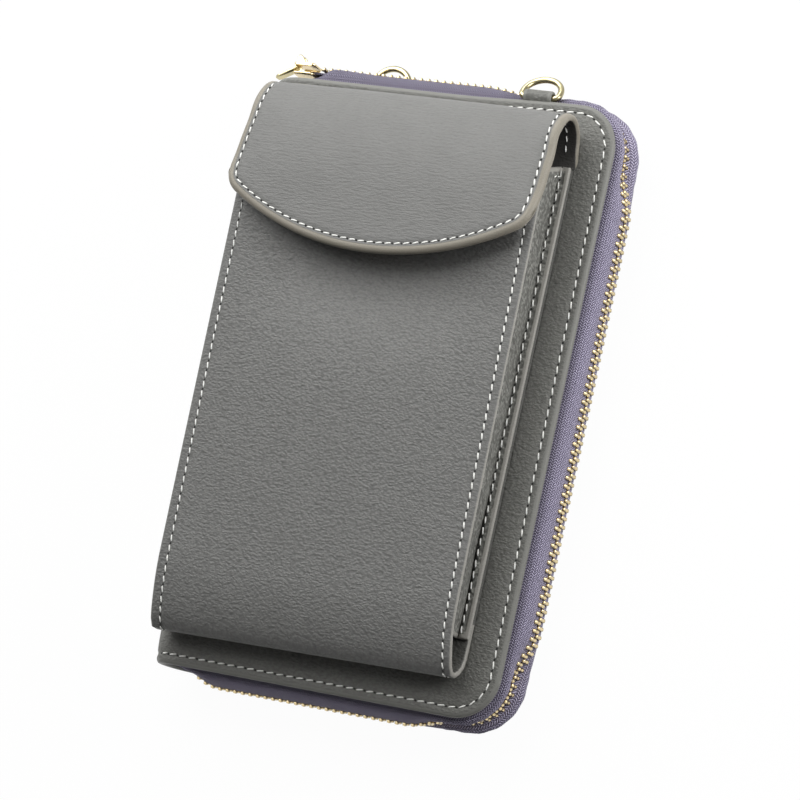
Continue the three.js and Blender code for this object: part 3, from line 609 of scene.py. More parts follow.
def tape_finish(name, base, deep, row, rib, wear_and_shade):
    """Herringbone tape: slanting ribs whose slant turns over from one row to the next, with a shallow gap between the
    rows and loose fibres. The tape is painted darker as painted shade up to a length from its start, and paler past it."""
    finish = Finish(name, Roughness=0.85)
    flat, run, side = finish.flat()
    rows = side / row
    slant = 1 - 2 * (rows.floor() % 2.0)
    ribs = ((run + slant * side * 0.9) / rib).wave()
    gap = ((rows % 1.0) - 0.5).absolute() * 2
    fibre = finish.noise(finish.scaled(flat, 3.0, 3.0, 1.0), 1.6, 3.0)
    yarn = ribs * (1 - gap ** 5) * 0.85 + fibre * 0.25
    # Darker tones along the first stretch of the tape: painted shade
    dark = finish.mix(yarn.between(0.12, 0.8), shade(deep, 0.6), shade(base, 0.62))
    pale = finish.mix(yarn.between(0.12, 0.8), shade(deep, 1.15), shade(base, 1.16))
    finish.feed("Base Color", finish.mix(run.between(wear_and_shade - 12, wear_and_shade + 12), dark, pale))
    finish.bump(yarn, 0.28, 0.9)
    return finish.material


def cloth_finish(name, base, yarn):
    """Plain weave: two crossed rows of yarn that pass over and under."""
    finish = Finish(name, Roughness=0.88)
    flat, run, side = finish.flat()
    over = (run / yarn).wave() * (side / yarn + 0.25).wave()
    under = (run / yarn + 0.5).wave() * (side / yarn + 0.75).wave()
    fibre = finish.noise(flat, 2.0, 3.0)
    weave = over + under + fibre * 0.3
    finish.feed("Base Color", finish.mix(weave.between(0.1, 0.9), shade(base, 0.6), shade(base, 1.25)))
    finish.bump(weave, 0.12, 0.8)
    return finish.material


def metal_finish(name, base, roughness):
    """Plated metal: faint clouding of the plate, fine wear, and metal painted dark where a mark says so, as painted
    shade between the zip's teeth and a painted reflection on the rings' wire.
    """
    finish = Finish(name, Metallic=1.0)
    place = finish.place()
    cloud = finish.noise(place, 260.0, 2.0)
    scuff = finish.noise(place, 2400.0, 3.0)
    plate = finish.mix(cloud.between(0.35, 0.65), shade(base, 0.9), shade(base, 1.06))
    # Painted shade and painted reflection: marked places darken to about a sixth of the metal's colour
    finish.feed("Base Color", finish.mix(finish.mark("dull"), plate, shade(base, 0.16)))
    finish.feed("Roughness", roughness * (0.75 + 0.5 * scuff))
    finish.bump(scuff, 0.01, 0.3)
    return finish.material


def thread_finish(name, base, needle):
    """Twisted thread, and needle holes painted dark as painted shade."""
    finish = Finish(name)
    place = finish.place()
    ply = finish.noise(place, 2600.0, 2.0)
    hole = finish.mark("hole")
    tone = finish.mix(ply.between(0.3, 0.7), shade(base, 0.8), base)
    finish.feed("Base Color", finish.mix(hole, tone, needle))
    finish.feed("Roughness", 0.7 + hole * 0.2)
    finish.bump(ply, 0.08, 0.6)
    return finish.material


def grain_finish(name, base, scale):
    """Plain material with a fine mottled grain."""
    finish = Finish(name, Roughness=0.9)
    speck = finish.noise(finish.place(), scale, 4.0)
    finish.feed("Base Color", finish.mix(speck.between(0.3, 0.7), shade(base, 0.85), shade(base, 1.08)))
    finish.bump(speck, 0.1, 0.5)
    return finish.material


def finishes():
    """The wallet's materials, made once."""
    tones = bpy.context.scene.wallet_colours
    paint = bpy.context.scene.wallet_sizes.edge_paint / MM
    grey = tones.leather
    recipes = {
        # Cover: the edge colour, 1.35 times the leather's, is a painted highlight along the rounded edge
        "cover": (leather_finish, grey, shade(grey, 1.35), 1.1, 0.7, 0.3),
        "flap": (leather_finish, tones.flap, tones.paint, paint, 0.25, 0.6, tones.lining),
        # Panel: its edge colour is a painted highlight on the rolled edge
        "panel": (leather_finish, tones.flap, tones.panel_paint_and_highlight, 0.5, 0.7, 0.35, shade(grey, 0.7)),
        # Gusset: the covers' leather painted 1.65 times lighter as painted light on the wall in the pocket's side
        "gusset": (leather_finish, shade(grey, 1.65), tones.panel_paint_and_highlight, 1.3, 1.3, 0.2, None, 0.5, 1.5),
        "card": (leather_finish, grey, grey, 0.4, 0.5, 0.4),
        # Tape: 90.0 is how far from its start the tape is painted darker as painted shade
        "tape": (tape_finish, tones.tape, tones.tape_deep, 0.92, 0.78, 90.0),
        "lining": (cloth_finish, tones.lining, 0.55),
        "brass": (metal_finish, tones.brass, 0.26),
        "gold": (metal_finish, tones.gold, 0.16),
        "thread": (thread_finish, tones.thread, tones.needle),
        "foam": (grain_finish, tones.foam, 900.0),
        "board": (grain_finish, tones.board, 500.0),
    }
    for name, (make, *settings) in recipes.items():
        if "wallet_" + name not in bpy.data.materials:
            make("wallet_" + name, *settings)
    return {name: bpy.data.materials["wallet_" + name] for name in recipes}


def dress(piece, slot, body, *nodes):
    """Sets a piece on a body in place of frame nodes. Its material slot is not used."""
    if body:
        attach(piece, body)
    if nodes:
        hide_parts(*nodes)
    return piece


def flat_lining(name, node, body, radius, lift):
    """Flat cloth lining in place of a frame node."""
    low, high = corners_of(node)
    cut = rectangle_cut(low[:2], high[:2], radius, LINING / 2)
    lining = sheet(name, cut, level((low[2] + high[2]) / 2 + lift), LINING, finishes()["lining"])
    dress(lining, "lining", body, node)


# Covers

EDGE_RISE = 0.6
EDGE_BOW = 0.9
EDGE_DENT = 0.45
EDGE_DENT_W = 5.0
SPINE_STAND = 2.2


def edge_lift(x, y):
    """Rise of the ring end's edge, which bows up towards the zip side."""
    return (EDGE_RISE + EDGE_BOW * ease((x - 5) / 35)) * ease((y - HALF_H + 20) / 20)


def cover_bend(thickness):
    """Bend of the outer leather: back face, half round spine, front face. The spine stands out towards the ring end and
    lies flatter at the other. Also returns the length of the whole girth."""
    run = EDGE_X - FLAT_X
    radius = MID_Z - thickness / 2
    turn = math.pi * radius

    def bend(a, b):
        angle = np.clip((a - run) / turn, 0, 1) * math.pi
        stand = SPINE_STAND * b / HALF_H
        x = FLAT_X + np.maximum(run - a, 0) + np.maximum(a - run - turn, 0) - (radius + stand) * np.sin(angle)
        z = MID_Z - radius * np.cos(angle)
        return np.stack([x, b + edge_lift(x, b), z], axis=-1)

    return bend, 2 * run + turn


def edge_path(girth, inset, top, start):
    """Flat line at an inset from the front cover's edge: along the ring end, the zip side and the far end. The ring end
    has an inset of its own."""
    centre = np.array([girth - CORNER_R, HALF_H - CORNER_R])
    upper = centre + arc((0, 0), 1, 90, 0, 12) * [CORNER_R - inset, CORNER_R - top]
    lower = arc(centre * [1, -1], CORNER_R - inset, 0, -90, 12)
    return np.concatenate([[[start, HALF_H - top]], upper, lower, [[start, inset - HALF_H]]])


class WALLET_OT_covers(bpy.types.Operator):
    """Outer leather of both halves, bent round the spine, with its seams"""
    bl_idname = "wallet.covers"
    bl_label = "Covers"

    def execute(self, context):
        sizes = context.scene.wallet_sizes
        finish = finishes()
        thickness = sizes.cover / MM
        inset = sizes.seam_inset / MM
        bend, girth = cover_bend(thickness)
        cut = rectangle_cut((0, -HALF_H), (girth, HALF_H), CORNER_R, 9.0, 3.0, 20)
        rim = cut[2]
        groove = sizes.groove / MM
        top = sizes.top_inset / MM
        seam_rim = inset + (top - inset) * ease((cut[1] - HALF_H + 18) / 10)
        dent = EDGE_DENT * bell(rim, EDGE_DENT_W) + groove * bell(rim - seam_rim, GROOVE_W)
        leather = sheet("outer_leather", cut, bend, thickness, finish["cover"], dent)
        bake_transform(leather)
        dress(leather, "cover_leather", None, "back_cover", "front_cover")
        spine = girth / 2 + math.pi * MID_Z / 2
        path = edge_path(girth, inset, top, spine - 7)
        lift = thickness / 2 - groove - EDGE_DENT * bell(inset, EDGE_DENT_W) + THREAD_PROUD
        seam("front_cover_seam", bend, path, lift, finish, "front_half")
        seam("back_cover_seam", bend, np.stack([girth - path[:, 0], path[:, 1]], axis=-1), lift, finish, "back_half")
        return {"FINISHED"}


# Zip round three sides

def zip_lengths():
    """Lengths along the zip where its runs and corners end."""
    straight = EDGE_X - CORNER_R
    corner = math.pi / 2 * CORNER_R
    return np.cumsum([straight - CHAIN_START_X, corner, 2 * (HALF_H - CORNER_R), corner, straight - CHAIN_END_X])


def tape_held(s):
    """1 along the zip, falling to 0 past the chain's end, where the tape draws in behind the cover's edge."""
    return 1 - ease((s - zip_lengths()[-1] + 6) / (TAPE_TAIL + 4))


def zip_station(s):
    """Foot on the cover's edge, outward direction and the chain's distance from the foot, at lengths along the zip:
    ring end, corner, zip side, corner, far end. The chain stands out along the runs and eases in at the corners."""
    ends = zip_lengths()
    where = [s < ends[0], s < ends[1], s < ends[2], s < ends[3]]
    cx, cy = EDGE_X - CORNER_R, HALF_H - CORNER_R
    quarter = math.pi / 2
    angle = np.select(where, [quarter + 0 * s, quarter - (s - ends[0]) / CORNER_R, 0 * s, (ends[2] - s) / CORNER_R],
                      -quarter)
    x = np.select(where, [CHAIN_START_X + s, cx + CORNER_R * np.cos(angle), EDGE_X + 0 * s,
                          cx + CORNER_R * np.cos(angle)], cx - (s - ends[3]))
    y = np.select(where, [HALF_H + 0 * s, cy + CORNER_R * np.sin(angle), cy - (s - ends[1]),
                          CORNER_R * np.sin(angle) - cy], -HALF_H)
    lift = edge_lift(x, y)

    def stand(most, room, reach=BULGE_EASE):
        return BULGE["corner"] + (most - BULGE["corner"]) * ease(room / reach)

    tuck = (BULGE["low"] - BULGE["end"]) * (1 - ease((ends[4] - s) / BULGE_END_EASE))
    side = stand(BULGE["side"], np.minimum(s - ends[1], ends[2] - s))
    ring_end = stand(BULGE["top"] - lift, ends[0] - s, BULGE_TOP_EASE)
    held = tape_held(s)
    far_end = (stand(BULGE["low"], s - ends[3]) - tuck) * held - 0.4 * (1 - held)
    out = np.select(where, [ring_end, BULGE["corner"] + 0 * s, side, BULGE["corner"] + 0 * s], far_end)
    return np.stack([x, y + lift], axis=-1), np.stack([np.cos(angle), np.sin(angle)], axis=-1), out


def chain_lean(s):
    """Slope of the chain's plane: the front row stands further out along the far end."""
    ends = zip_lengths()
    return CHAIN_LEAN * ease((s - ends[3]) / 14) * ease((ends[4] + 4 - s) / 12)


def zip_point(side, s, out, depth):
    """Point at a distance outwards and a depth below a half's outer face."""
    foot, way, _ = zip_station(s)
    z = BODY_T - depth if side == "front" else depth
    flat = foot + way * out[..., None]
    return np.concatenate([flat, np.broadcast_to(z, s.shape)[..., None]], axis=-1)


def tape_bend(side):
    """Bend of a tape half: a flange under the cover, a cubic curve out to the belly and in to the chain, then a
    straight stretch under the teeth. Past the chain's end the tape draws in behind the cover's edge."""
    drop = CHAIN_DEPTH - TAPE_DEPTH
    corner_start = zip_lengths()[0]
    front = 1 if side == "front" else -1

    def bend(s, t):
        _, _, out = zip_station(s)
        lean = chain_lean(s) * front
        held = tape_held(s)
        curve = np.clip((t - TAPE_FLANGE) / TAPE_CURVE, 0, 1)
        last = np.maximum(t - TAPE_FLANGE - TAPE_CURVE, 0)
        start = -0.6 + 1.3 * held
        belly = np.maximum(0.7 + (out - 0.7) * 0.7, BELLY[side]) * held - 0.6 * (1 - held)
        belly = belly + 1.3 * bell(s - corner_start + 4, 9)
        end = out - 0.65 + lean * CHAIN_HALF
        keep = (1 - curve) ** 3, 3 * curve * (1 - curve) ** 2, 3 * curve ** 2 * (1 - curve), curve ** 3
        reach = start * keep[0] + belly * 0.85 * keep[1] + belly * 1.15 * keep[2] + end * keep[3]
        if side == "front":
            proud = ease(s / 6)
            reach = start + (reach - start + 1.5 * keep[2] * (1 - ease((s - 8) / 16))) * proud
        pucker = 0.1 * np.sin(s * 1.3) * np.sin(curve * math.pi) * (out < 1.5)
        reach = reach + np.minimum(t - TAPE_FLANGE, 0) + pucker - lean * last
        depth = TAPE_DEPTH + drop * (0.1 * keep[1] + 0.5 * keep[2] + keep[3]) + last
        return zip_point(side, s, reach, depth)

    return bend


def tooth():
    """One tooth: rounded sections from the clamp over the tape, through a neck, to the head that locks. Each section
    has its place along the tooth, its half width and its half height."""
    sections = np.array([
        [-0.45, 0.32, 0.36], [-0.2, 0.55, 0.58], [0.3, 0.64, 0.7], [0.8, 0.58, 0.64], [1.25, 0.42, 0.5],
        [1.75, 0.42, 0.5], [2.15, 0.55, 0.62], [2.8, 0.58, 0.64], [3.25, 0.42, 0.46], [3.35, 0.05, 0.06]])
    angle = round_angles(8)
    turn = np.stack([np.cos(angle), np.sin(angle)])
    blunt = np.sign(turn) * np.abs(turn) ** 0.6
    ends = np.concatenate([sections[:1] * [1, 0, 0], sections, sections[-1:] * [1, 0, 0]])
    points = np.stack(np.broadcast_arrays(ends[:, 1:2] * blunt[0], ends[:, 2:3] * blunt[1], ends[:, :1]), axis=-1)
    return points.reshape(-1, 3), grid_faces(len(ends), 8, wrap_columns=True)[:, ::-1]


class WALLET_OT_zip(bpy.types.Operator):
    """Zip tapes, interlocking teeth and the bottom stop"""
    bl_idname = "wallet.zip"
    bl_label = "Zip"

    def execute(self, context):
        sizes = context.scene.wallet_sizes
        finish = finishes()
        run = zip_lengths()[-1]
        for side, front in (("back", -1.0), ("front", 1.0)):
            self.tape(side, run, sizes.tape / MM, finish["tape"])
            self.teeth(side, front, run, sizes.tooth_pitch / MM, finish["brass"])
        self.stop(finish["brass"])
        return {"FINISHED"}

    def tape(self, side, run, thickness, finish):
        """One half of the tape, from behind the slider to its tail."""
        start, wide = TAPE_START[side], TAPE_WIDE
        cut = rectangle_cut((start, 0), (run + TAPE_TAIL, wide), 0.2, thickness / 2, 1.2)
        tape = sheet("tape_" + side, cut, tape_bend(side), thickness, finish)
        dress(tape, "zip_tape", side + "_half", "zip_tape_" + side)
        (run + TAPE_TAIL - start) * MM

    def teeth(self, side, front, run, pitch, finish):
        """One row of teeth, shorter where the slider's post has to pass."""
        s = np.arange(FIRST_TOOTH[side], run / pitch - 0.2) * pitch
        _, way, out = zip_station(s)
        lean = chain_lean(s)
        place = zip_point(side, s, out + front * lean * CHAIN_HALF, CHAIN_DEPTH)
        inwards = -front * unit(np.concatenate([way * lean[:, None], np.ones((len(s), 1))], axis=1))
        outward = unit(np.concatenate([way, -lean[:, None]], axis=1))
        template, faces = tooth()
        tall = 1 - SLIDE_CUT * (1 - ease((s - SLIDE_END) / SLIDE_EASE))
        across = np.cross(outward, inwards)
        points, faces = copies(template, faces, place, across, outward, inwards * tall[:, None])
        # Flanks of each tooth that face its neighbours are painted dark: painted shade between the teeth
        dull = np.tile(0.9 * ease((np.abs(template[:, 0]) - 0.28) / 0.3), len(s))
        teeth = put_mesh("teeth_" + side, points, faces, finish, marks={"dull": dull})
        dress(teeth, "zip_brass", side + "_half", "zip_teeth_" + side)

    def stop(self, finish):
        """Bottom stop at the chain's end."""
        low, high = corners_of("zip_bottom_stop")
        deep = high[1] - low[1]
        middle = STOP_IN - HALF_H
        cut = rectangle_cut((low[0], low[2]), (high[0], high[2]), 0.8, deep / 2 * 0.7, 0.8)
        stop = sheet("bottom_stop", cut, lambda a, b: np.stack([a, middle + 0 * a, b], axis=-1), deep * 0.4, finish)
        dress(stop, "zip_brass", "back_half", "zip_bottom_stop")


# Sliders and pulls

PULL_DROOP_DEG = 30

def shaped_plate(name, stations, lift, thickness, frame_at, finish):
    """Flat metal plate: half widths at stations along its length give the outline, with rounded edges. frame_at turns
    (length, width, height) into a place."""
    stations = np.asarray(stations, float)
    edge = thickness * 0.45
    a = spaced(stations[0, 0], stations[-1, 0], edge, 0.4)
    half = np.interp(a, stations[:, 0], stations[:, 1])
    share = spaced(-1, 1, edge / half.max(), 0.25)
    grid_a = np.broadcast_to(a[:, None], (len(a), len(share)))
    grid_b = half[:, None] * share
    ends = np.minimum(grid_a - a[0], a[-1] - grid_a)
    rim = np.minimum(ends, half[:, None] - np.abs(grid_b))
    return sheet(name, (grid_a, grid_b, rim), lambda p, q: frame_at(p, q, lift + 0 * p), thickness, finish)


def slider_frame(origin, along_axis, side_axis, up_axis):
    """Function from length, width and height to a place, for a slider that stands on an origin."""
    axes = [np.asarray(axis, float) for axis in (along_axis, side_axis, up_axis)]

    def place(a, b, c):
        parts = [np.asarray(value, float)[..., None] * axis for value, axis in zip((a, b, c), axes)]
        return origin + parts[0] + parts[1] + parts[2]

    return place


def joined(name, pieces):
    """One object from several."""
    for other in bpy.context.view_layer.objects:
        other.select_set(False)
    for piece in pieces:
        piece.select_set(True)
    bpy.context.view_layer.objects.active = pieces[0]
    bpy.ops.object.join()
    pieces[0].name = name
    return pieces[0]


def standing(place, middle):
    """Bend of a cut that stands on edge along a slider, at a distance from its middle."""
    return lambda p, q: place(p, middle + 0 * p, q)


def fin_cut(eye_a, eye_c, eye_r, foot_a, foot_c, floor):
    """Standing cut of a fin: its top goes round the pull's eye and falls to a foot on the plate."""
    line = np.array([[eye_a - eye_r, 0.0], [eye_a - eye_r * 0.7, eye_r * 0.7], [eye_a, eye_r],
                     [eye_a + eye_r * 0.8, eye_r * 0.6], [foot_a, foot_c - eye_c + 0.05]])
    a = np.linspace(line[0, 0], line[-1, 0], 24)
    top = np.interp(a, line[:, 0], line[:, 1]) + eye_c
    grid_a = np.broadcast_to(a[:, None], (24, 9))
    grid_c = floor + (top[:, None] - floor) * np.linspace(0, 1, 9)
    rim = np.minimum(np.minimum(grid_a - a[0], a[-1] - grid_a) + 0.05, (top[:, None] - grid_c) + 0.02)
    return grid_a, grid_c, rim


def slider(name, place, long, wide, inner, outer, plate, eye, finish):
    """Zip slider: a shaped plate above and below the chain, the post between them, skirts along the upper plate and two
    fins that hold the pull's eye. Lengths are measured from the slider's tail, heights from the middle of the chain.
    eye gives the eye's length, height and radius, the fins' distance from the middle and their thickness."""
    outline = [(0, wide * 0.34), (long * 0.08, wide * 0.42), (long * 0.55, wide * 0.5), (long * 0.9, wide * 0.47),
               (long, wide * 0.36)]
    eye_a, eye_c, eye_r, near, fin = eye
    post = rectangle_cut((0.4, inner - 0.3), (1.6, outer + 0.3), 0.15, 0.15, 0.4)
    skirt = rectangle_cut((long * 0.12, outer * 0.56), (long * 0.88, outer + plate / 2), 0.2, 0.2, 0.4)
    ear = fin_cut(eye_a, eye_c, eye_r, long * 0.5, outer + plate, outer)
    pieces = [shaped_plate(name + "_top", outline, outer + plate / 2, plate, place, finish),
              shaped_plate(name + "_bottom", outline, inner - plate / 2, plate, place, finish),
              sheet(name + "_post", post, standing(place, 0), 0.12, finish)]
    for way in (-1, 1):
        pieces.append(sheet(name + "_skirt", skirt, standing(place, way * (wide / 2 - 0.3)), 0.5, finish))
        pieces.append(sheet(name + "_fin", ear, standing(place, way * (near + fin / 2)), fin, finish))
    return joined(name, pieces)


def pull(name, place, long, wide, thick, eye_r, eye_w, finish, crank=0.0):
    """Zip pull: a short barrel for an eye, a neck that can be cranked down and a flat tab with a round end. Length runs
    along place's first axis from the eye's centre."""
    neck = eye_w / 2
    start = eye_r * 1.5 + 0.3
    outline = [(0, neck * 0.9), (start, neck * 0.92), (start + 0.5, wide * 0.42), (start + 1.2, wide * 0.5),
               (long - 1.6, wide * 0.5), (long - 0.6, wide * 0.42), (long, wide * 0.2)]

    def cranked(a, b, c):
        return place(a, b, c - crank * ease((a - 0.4) / 2.6))

    tab = shaped_plate(name + "_tab", outline, 0.0, thick, cranked, finish)
    angle = round_angles(24)
    across = neck * np.array([-1, -1, -0.92, 0.92, 1, 1])
    radius = eye_r * np.array([0, 0.85, 1, 1, 0.85, 0])
    points = place(radius[:, None] * np.cos(angle), np.broadcast_to(across[:, None], (6, 24)),
                   radius[:, None] * np.sin(angle))
    barrel = put_mesh(name + "_eye", points, grid_faces(6, 24, wrap_columns=True), finish)
    return joined(name, [tab, barrel])


class WALLET_OT_slider(bpy.types.Operator):
    """Slider of the long zip with its pull"""
    bl_idname = "wallet.slider"
    bl_label = "Slider and pull"

    def execute(self, context):
        finish = finishes()
        low, high = corners_of("zip_slider")
        eye = JOINT_AT["zip_pull_swing"]
        chain = HALF_H + BULGE["top"]
        place = slider_frame(np.array([low[0], chain, MID_Z]), (1, 0, 0), (0, 0, -1), (0, 1, 0))
        eye_r = high[1] - eye[1]
        made = slider("slider", place, long=(high[0] - low[0]) * 0.74, wide=7.3, inner=-1.35, outer=0.8, plate=0.8,
                      eye=(eye[0] - low[0], eye[1] - chain, eye_r, 1.0, 0.6), finish=finish["brass"])
        dress(made, "zip_brass", "zip_slider_body", "zip_slider")
        droop = math.radians(PULL_DROOP_DEG)
        along_axis = np.array([-math.cos(droop), -math.sin(droop), 0])
        place = slider_frame(eye, along_axis, (0, 0, 1), np.cross(along_axis, [0, 0, 1]))
        made = pull("pull", place, long=9.6, wide=3.6, thick=1.0, eye_r=0.7, eye_w=1.8, finish=finish["gold"],
                    crank=2.6)
        dress(made, "pale_gold", "zip_pull_body", "zip_pull")
        return {"FINISHED"}


# Rings

RING_LEAN = {"back": 0.0, "front": math.radians(-31.8)}
RING_TALL = 8.8
RING_SHOULDER = 2.0
RING_FOOT_R = 1.5
LOOP = 0.95
LOOP_LEG = LOOP * 0.55

def ring_path(high, half, shoulder, wire):
    """Closed line of a ring: a straight bar with tight corners, then half an ellipse from the shoulders up."""
    foot = RING_FOOT_R
    left = arc((-half + foot, foot), foot, 180, 270, 8)
    right = arc((half - foot, foot), foot, 270, 360, 8)
    angle = np.linspace(0, math.pi, 49)[1:-1]
    top = np.stack([half * np.cos(angle), shoulder + (high - wire - shoulder) * np.sin(angle)], axis=-1)
    rough = np.concatenate([left, right, top])
    closed = np.concatenate([rough, rough[:1]])
    return along(closed, np.linspace(0, line_length(closed), 140, endpoint=False))


class WALLET_OT_rings(bpy.types.Operator):
    """Two rings in their leather loops"""
    bl_idname = "wallet.rings"
    bl_label = "Rings"

    def execute(self, context):
        finish = finishes()
        wire = context.scene.wallet_sizes.ring_wire / MM
        for side, lean in RING_LEAN.items():
            centre = JOINT_AT[side + "_ring_swing"]
            low, high = corners_of(side + "_ring")
            flat = ring_path(RING_TALL, (high[0] - low[0]) / 2 - wire, RING_SHOULDER, wire)
            path = centre + np.stack([flat[:, 0], flat[:, 1] * math.cos(lean), flat[:, 1] * math.sin(lean)], axis=-1)
            ring = tube(side + "_d_ring", path, wire, finish["gold"], (0, -math.sin(lean), math.cos(lean)))
            dress(ring, "pale_gold", side + "_ring_body", side + "_ring")
            low, high = corners_of(side + "_ring_tab")
            eye = wire + 0.3 + LOOP / 2
            leg_end = low[1] + 0.4
            opening = math.degrees(math.asin(min(LOOP_LEG / eye, 1)))
            loop = np.concatenate([[[leg_end, centre[2] - LOOP_LEG]],
                                   arc((centre[1], centre[2]), eye, -180 + opening, 180 - opening, 36),
                                   [[leg_end, centre[2] + LOOP_LEG]]])
            line, total = bent_line(loop, 0.8)
            cut = rectangle_cut((low[0], 0), (high[0], total), 0.3, LOOP / 2, 0.5)
            tab = sheet(side + "_loop", cut, lambda a, b, line=line: np.stack([a, *line(b)], axis=-1), LOOP,
                        finish["cover"])
            dress(tab, "cover_leather", side + "_half", side + "_ring_tab")
        return {"FINISHED"}


# Phone pocket

POCKET_DEPTH_LOW = 14.5
TURN_R = POCKET_DEPTH_LOW / 2
TURN_Y = POCKET_LOW[1] + TURN_R
MOUTH_Y = POCKET_HIGH[1]
PANEL_SLOPE = (POCKET_HIGH[2] - POCKET_LOW[2] - POCKET_DEPTH_LOW) / (MOUTH_Y - TURN_Y)
TURN_LONG = 22.0
TURN_POWER = 1.6
TURN_TOP = POCKET_LOW[1] + TURN_LONG
PANEL_SWELL = 0.9
PANEL_SINK = 4.6
PANEL_ROLL = 2.0
PANEL_HANG = 1.6
FRONT_FLARE = 0.9
BACK_FLARE = 1.4
STRIP_LEFT = POCKET_LOW[0] + 0.8
STRIP_RIGHT = POCKET_HIGH[0] - 0.8
STRIP_X = (STRIP_LEFT + STRIP_RIGHT) / 2
STRIP_HALF = (STRIP_RIGHT - STRIP_LEFT) / 2
SEAM_IN = {-1: 3.4, 1: 2.5}
GUSSET = 1.2
GUSSET_TALL = 14.0
GUSSET_SLOPE = 4.2
GUSSET_FLANGE = 2.6
HEM_SEAM = 2.6
HEM_DEPTH = 0.25


def panel_z(y):
    """Height of the pocket's front face: a slow rise to the mouth above a quarter of a pointed ellipse at the turn."""
    low = np.clip((TURN_TOP - y) / TURN_LONG, 0, 1)
    drop = TURN_R * (1 - (1 - low ** TURN_POWER) ** (1 / TURN_POWER))
    return POCKET_LOW[2] + POCKET_DEPTH_LOW + (y - TURN_Y) * PANEL_SLOPE - drop


def pocket_bend(thickness):
    """Bend of the pocket's strip: up the back is its start, then the turn at the bottom and the front panel, which
    swells a little between its seams, sinks under the flap's tip, rolls back at its edges and hangs a little lower on
    the spine side. Also returns the strip's length and where the front panel starts."""
    half = thickness / 2
    back = [[FOLD_LOW[1] - 5.2, POCKET_LOW[2] + half], [TURN_Y, POCKET_LOW[2] + half]]
    turn = arc((TURN_Y, POCKET_LOW[2] + TURN_R), TURN_R - half, 270, 180, 20)
    rise = arc((0, 0), 1, 180, 90, 32)
    rise = np.sign(rise) * np.abs(rise) ** (2 / TURN_POWER) * [TURN_LONG - half, TURN_R - half]
    front = [[MOUTH_Y, panel_z(MOUTH_Y) - half]]
    line, total = bent_line(np.concatenate([back, turn, rise + [TURN_TOP, POCKET_LOW[2] + TURN_R], front]), 3.0)
    front_start = total - (MOUTH_Y - TURN_TOP)

    def bend(a, b):
        y, z = line(b)
        across = (a - POCKET_X) / POCKET_HALF
        middle = np.maximum(1 - across ** 2, 0)
        narrow = 1.5 - 0.5 * np.clip(3 * across, -1, 1)
        rise = np.clip((b - front_start) / (total - front_start), 0, 1)
        swell = PANEL_SWELL * middle * np.sin(rise * math.pi) ** 0.7
        sink = PANEL_SINK * middle ** narrow * bell(y - FLAP_LOW[1] + 3, 18) * (rise > 0)
        near = np.clip(1 - (STRIP_HALF - np.abs(a - STRIP_X)) / 4.5, 0, 1)
        roll = PANEL_ROLL * (0.35 + 0.65 * rise) * near ** 2 * ease((b - front_start + TURN_LONG) / 10)
        right = np.clip((a - STRIP_LEFT) / (STRIP_RIGHT - STRIP_LEFT), 0, 1)
        behind = np.clip(1 - (z - POCKET_LOW[2] - thickness) / TURN_R, 0, 1)
        low = FRONT_FLARE * (1 - ease((y - POCKET_LOW[1]) / 14))
        flare = right ** 2 * (low * (1 - behind) + BACK_FLARE * behind)
        hang = PANEL_HANG * (1 - right) * (1 - ease((y - POCKET_LOW[1]) / 40))
        return np.stack([a + flare, y - hang, z + swell - sink - roll], axis=-1)

    return bend, total, front_start


def gusset_bend(way):
    """Bend of a gusset: a flange under the front panel, a wall that slants in to the back and a flange that turns out
    again there. Its mouth slopes back."""
    low = POCKET_LOW[2] + STRIP + 0.9
    line, total = bent_line([[POCKET_HALF - 6, GUSSET_TALL], [POCKET_HALF - 2.2, GUSSET_TALL], [POCKET_HALF - 3.4, 0],
                             [POCKET_HALF + 0.6, 0]], 1.6)

    def bend(a, b):
        out, up = line(a)
        share = up / GUSSET_TALL
        high = panel_z(b) - STRIP - 2.5
        z = low + (high - low) * share
        slope = GUSSET_SLOPE * (1 - share) * np.clip((b - MOUTH_Y + 40) / 40, 0, 1)
        ripple = 0.25 * np.sin(b * 0.21 + way) * np.sin(np.clip(a / total, 0, 1) * math.pi)
        return np.stack([POCKET_X + way * (out + ripple), b + slope, z], axis=-1)

    return bend, total


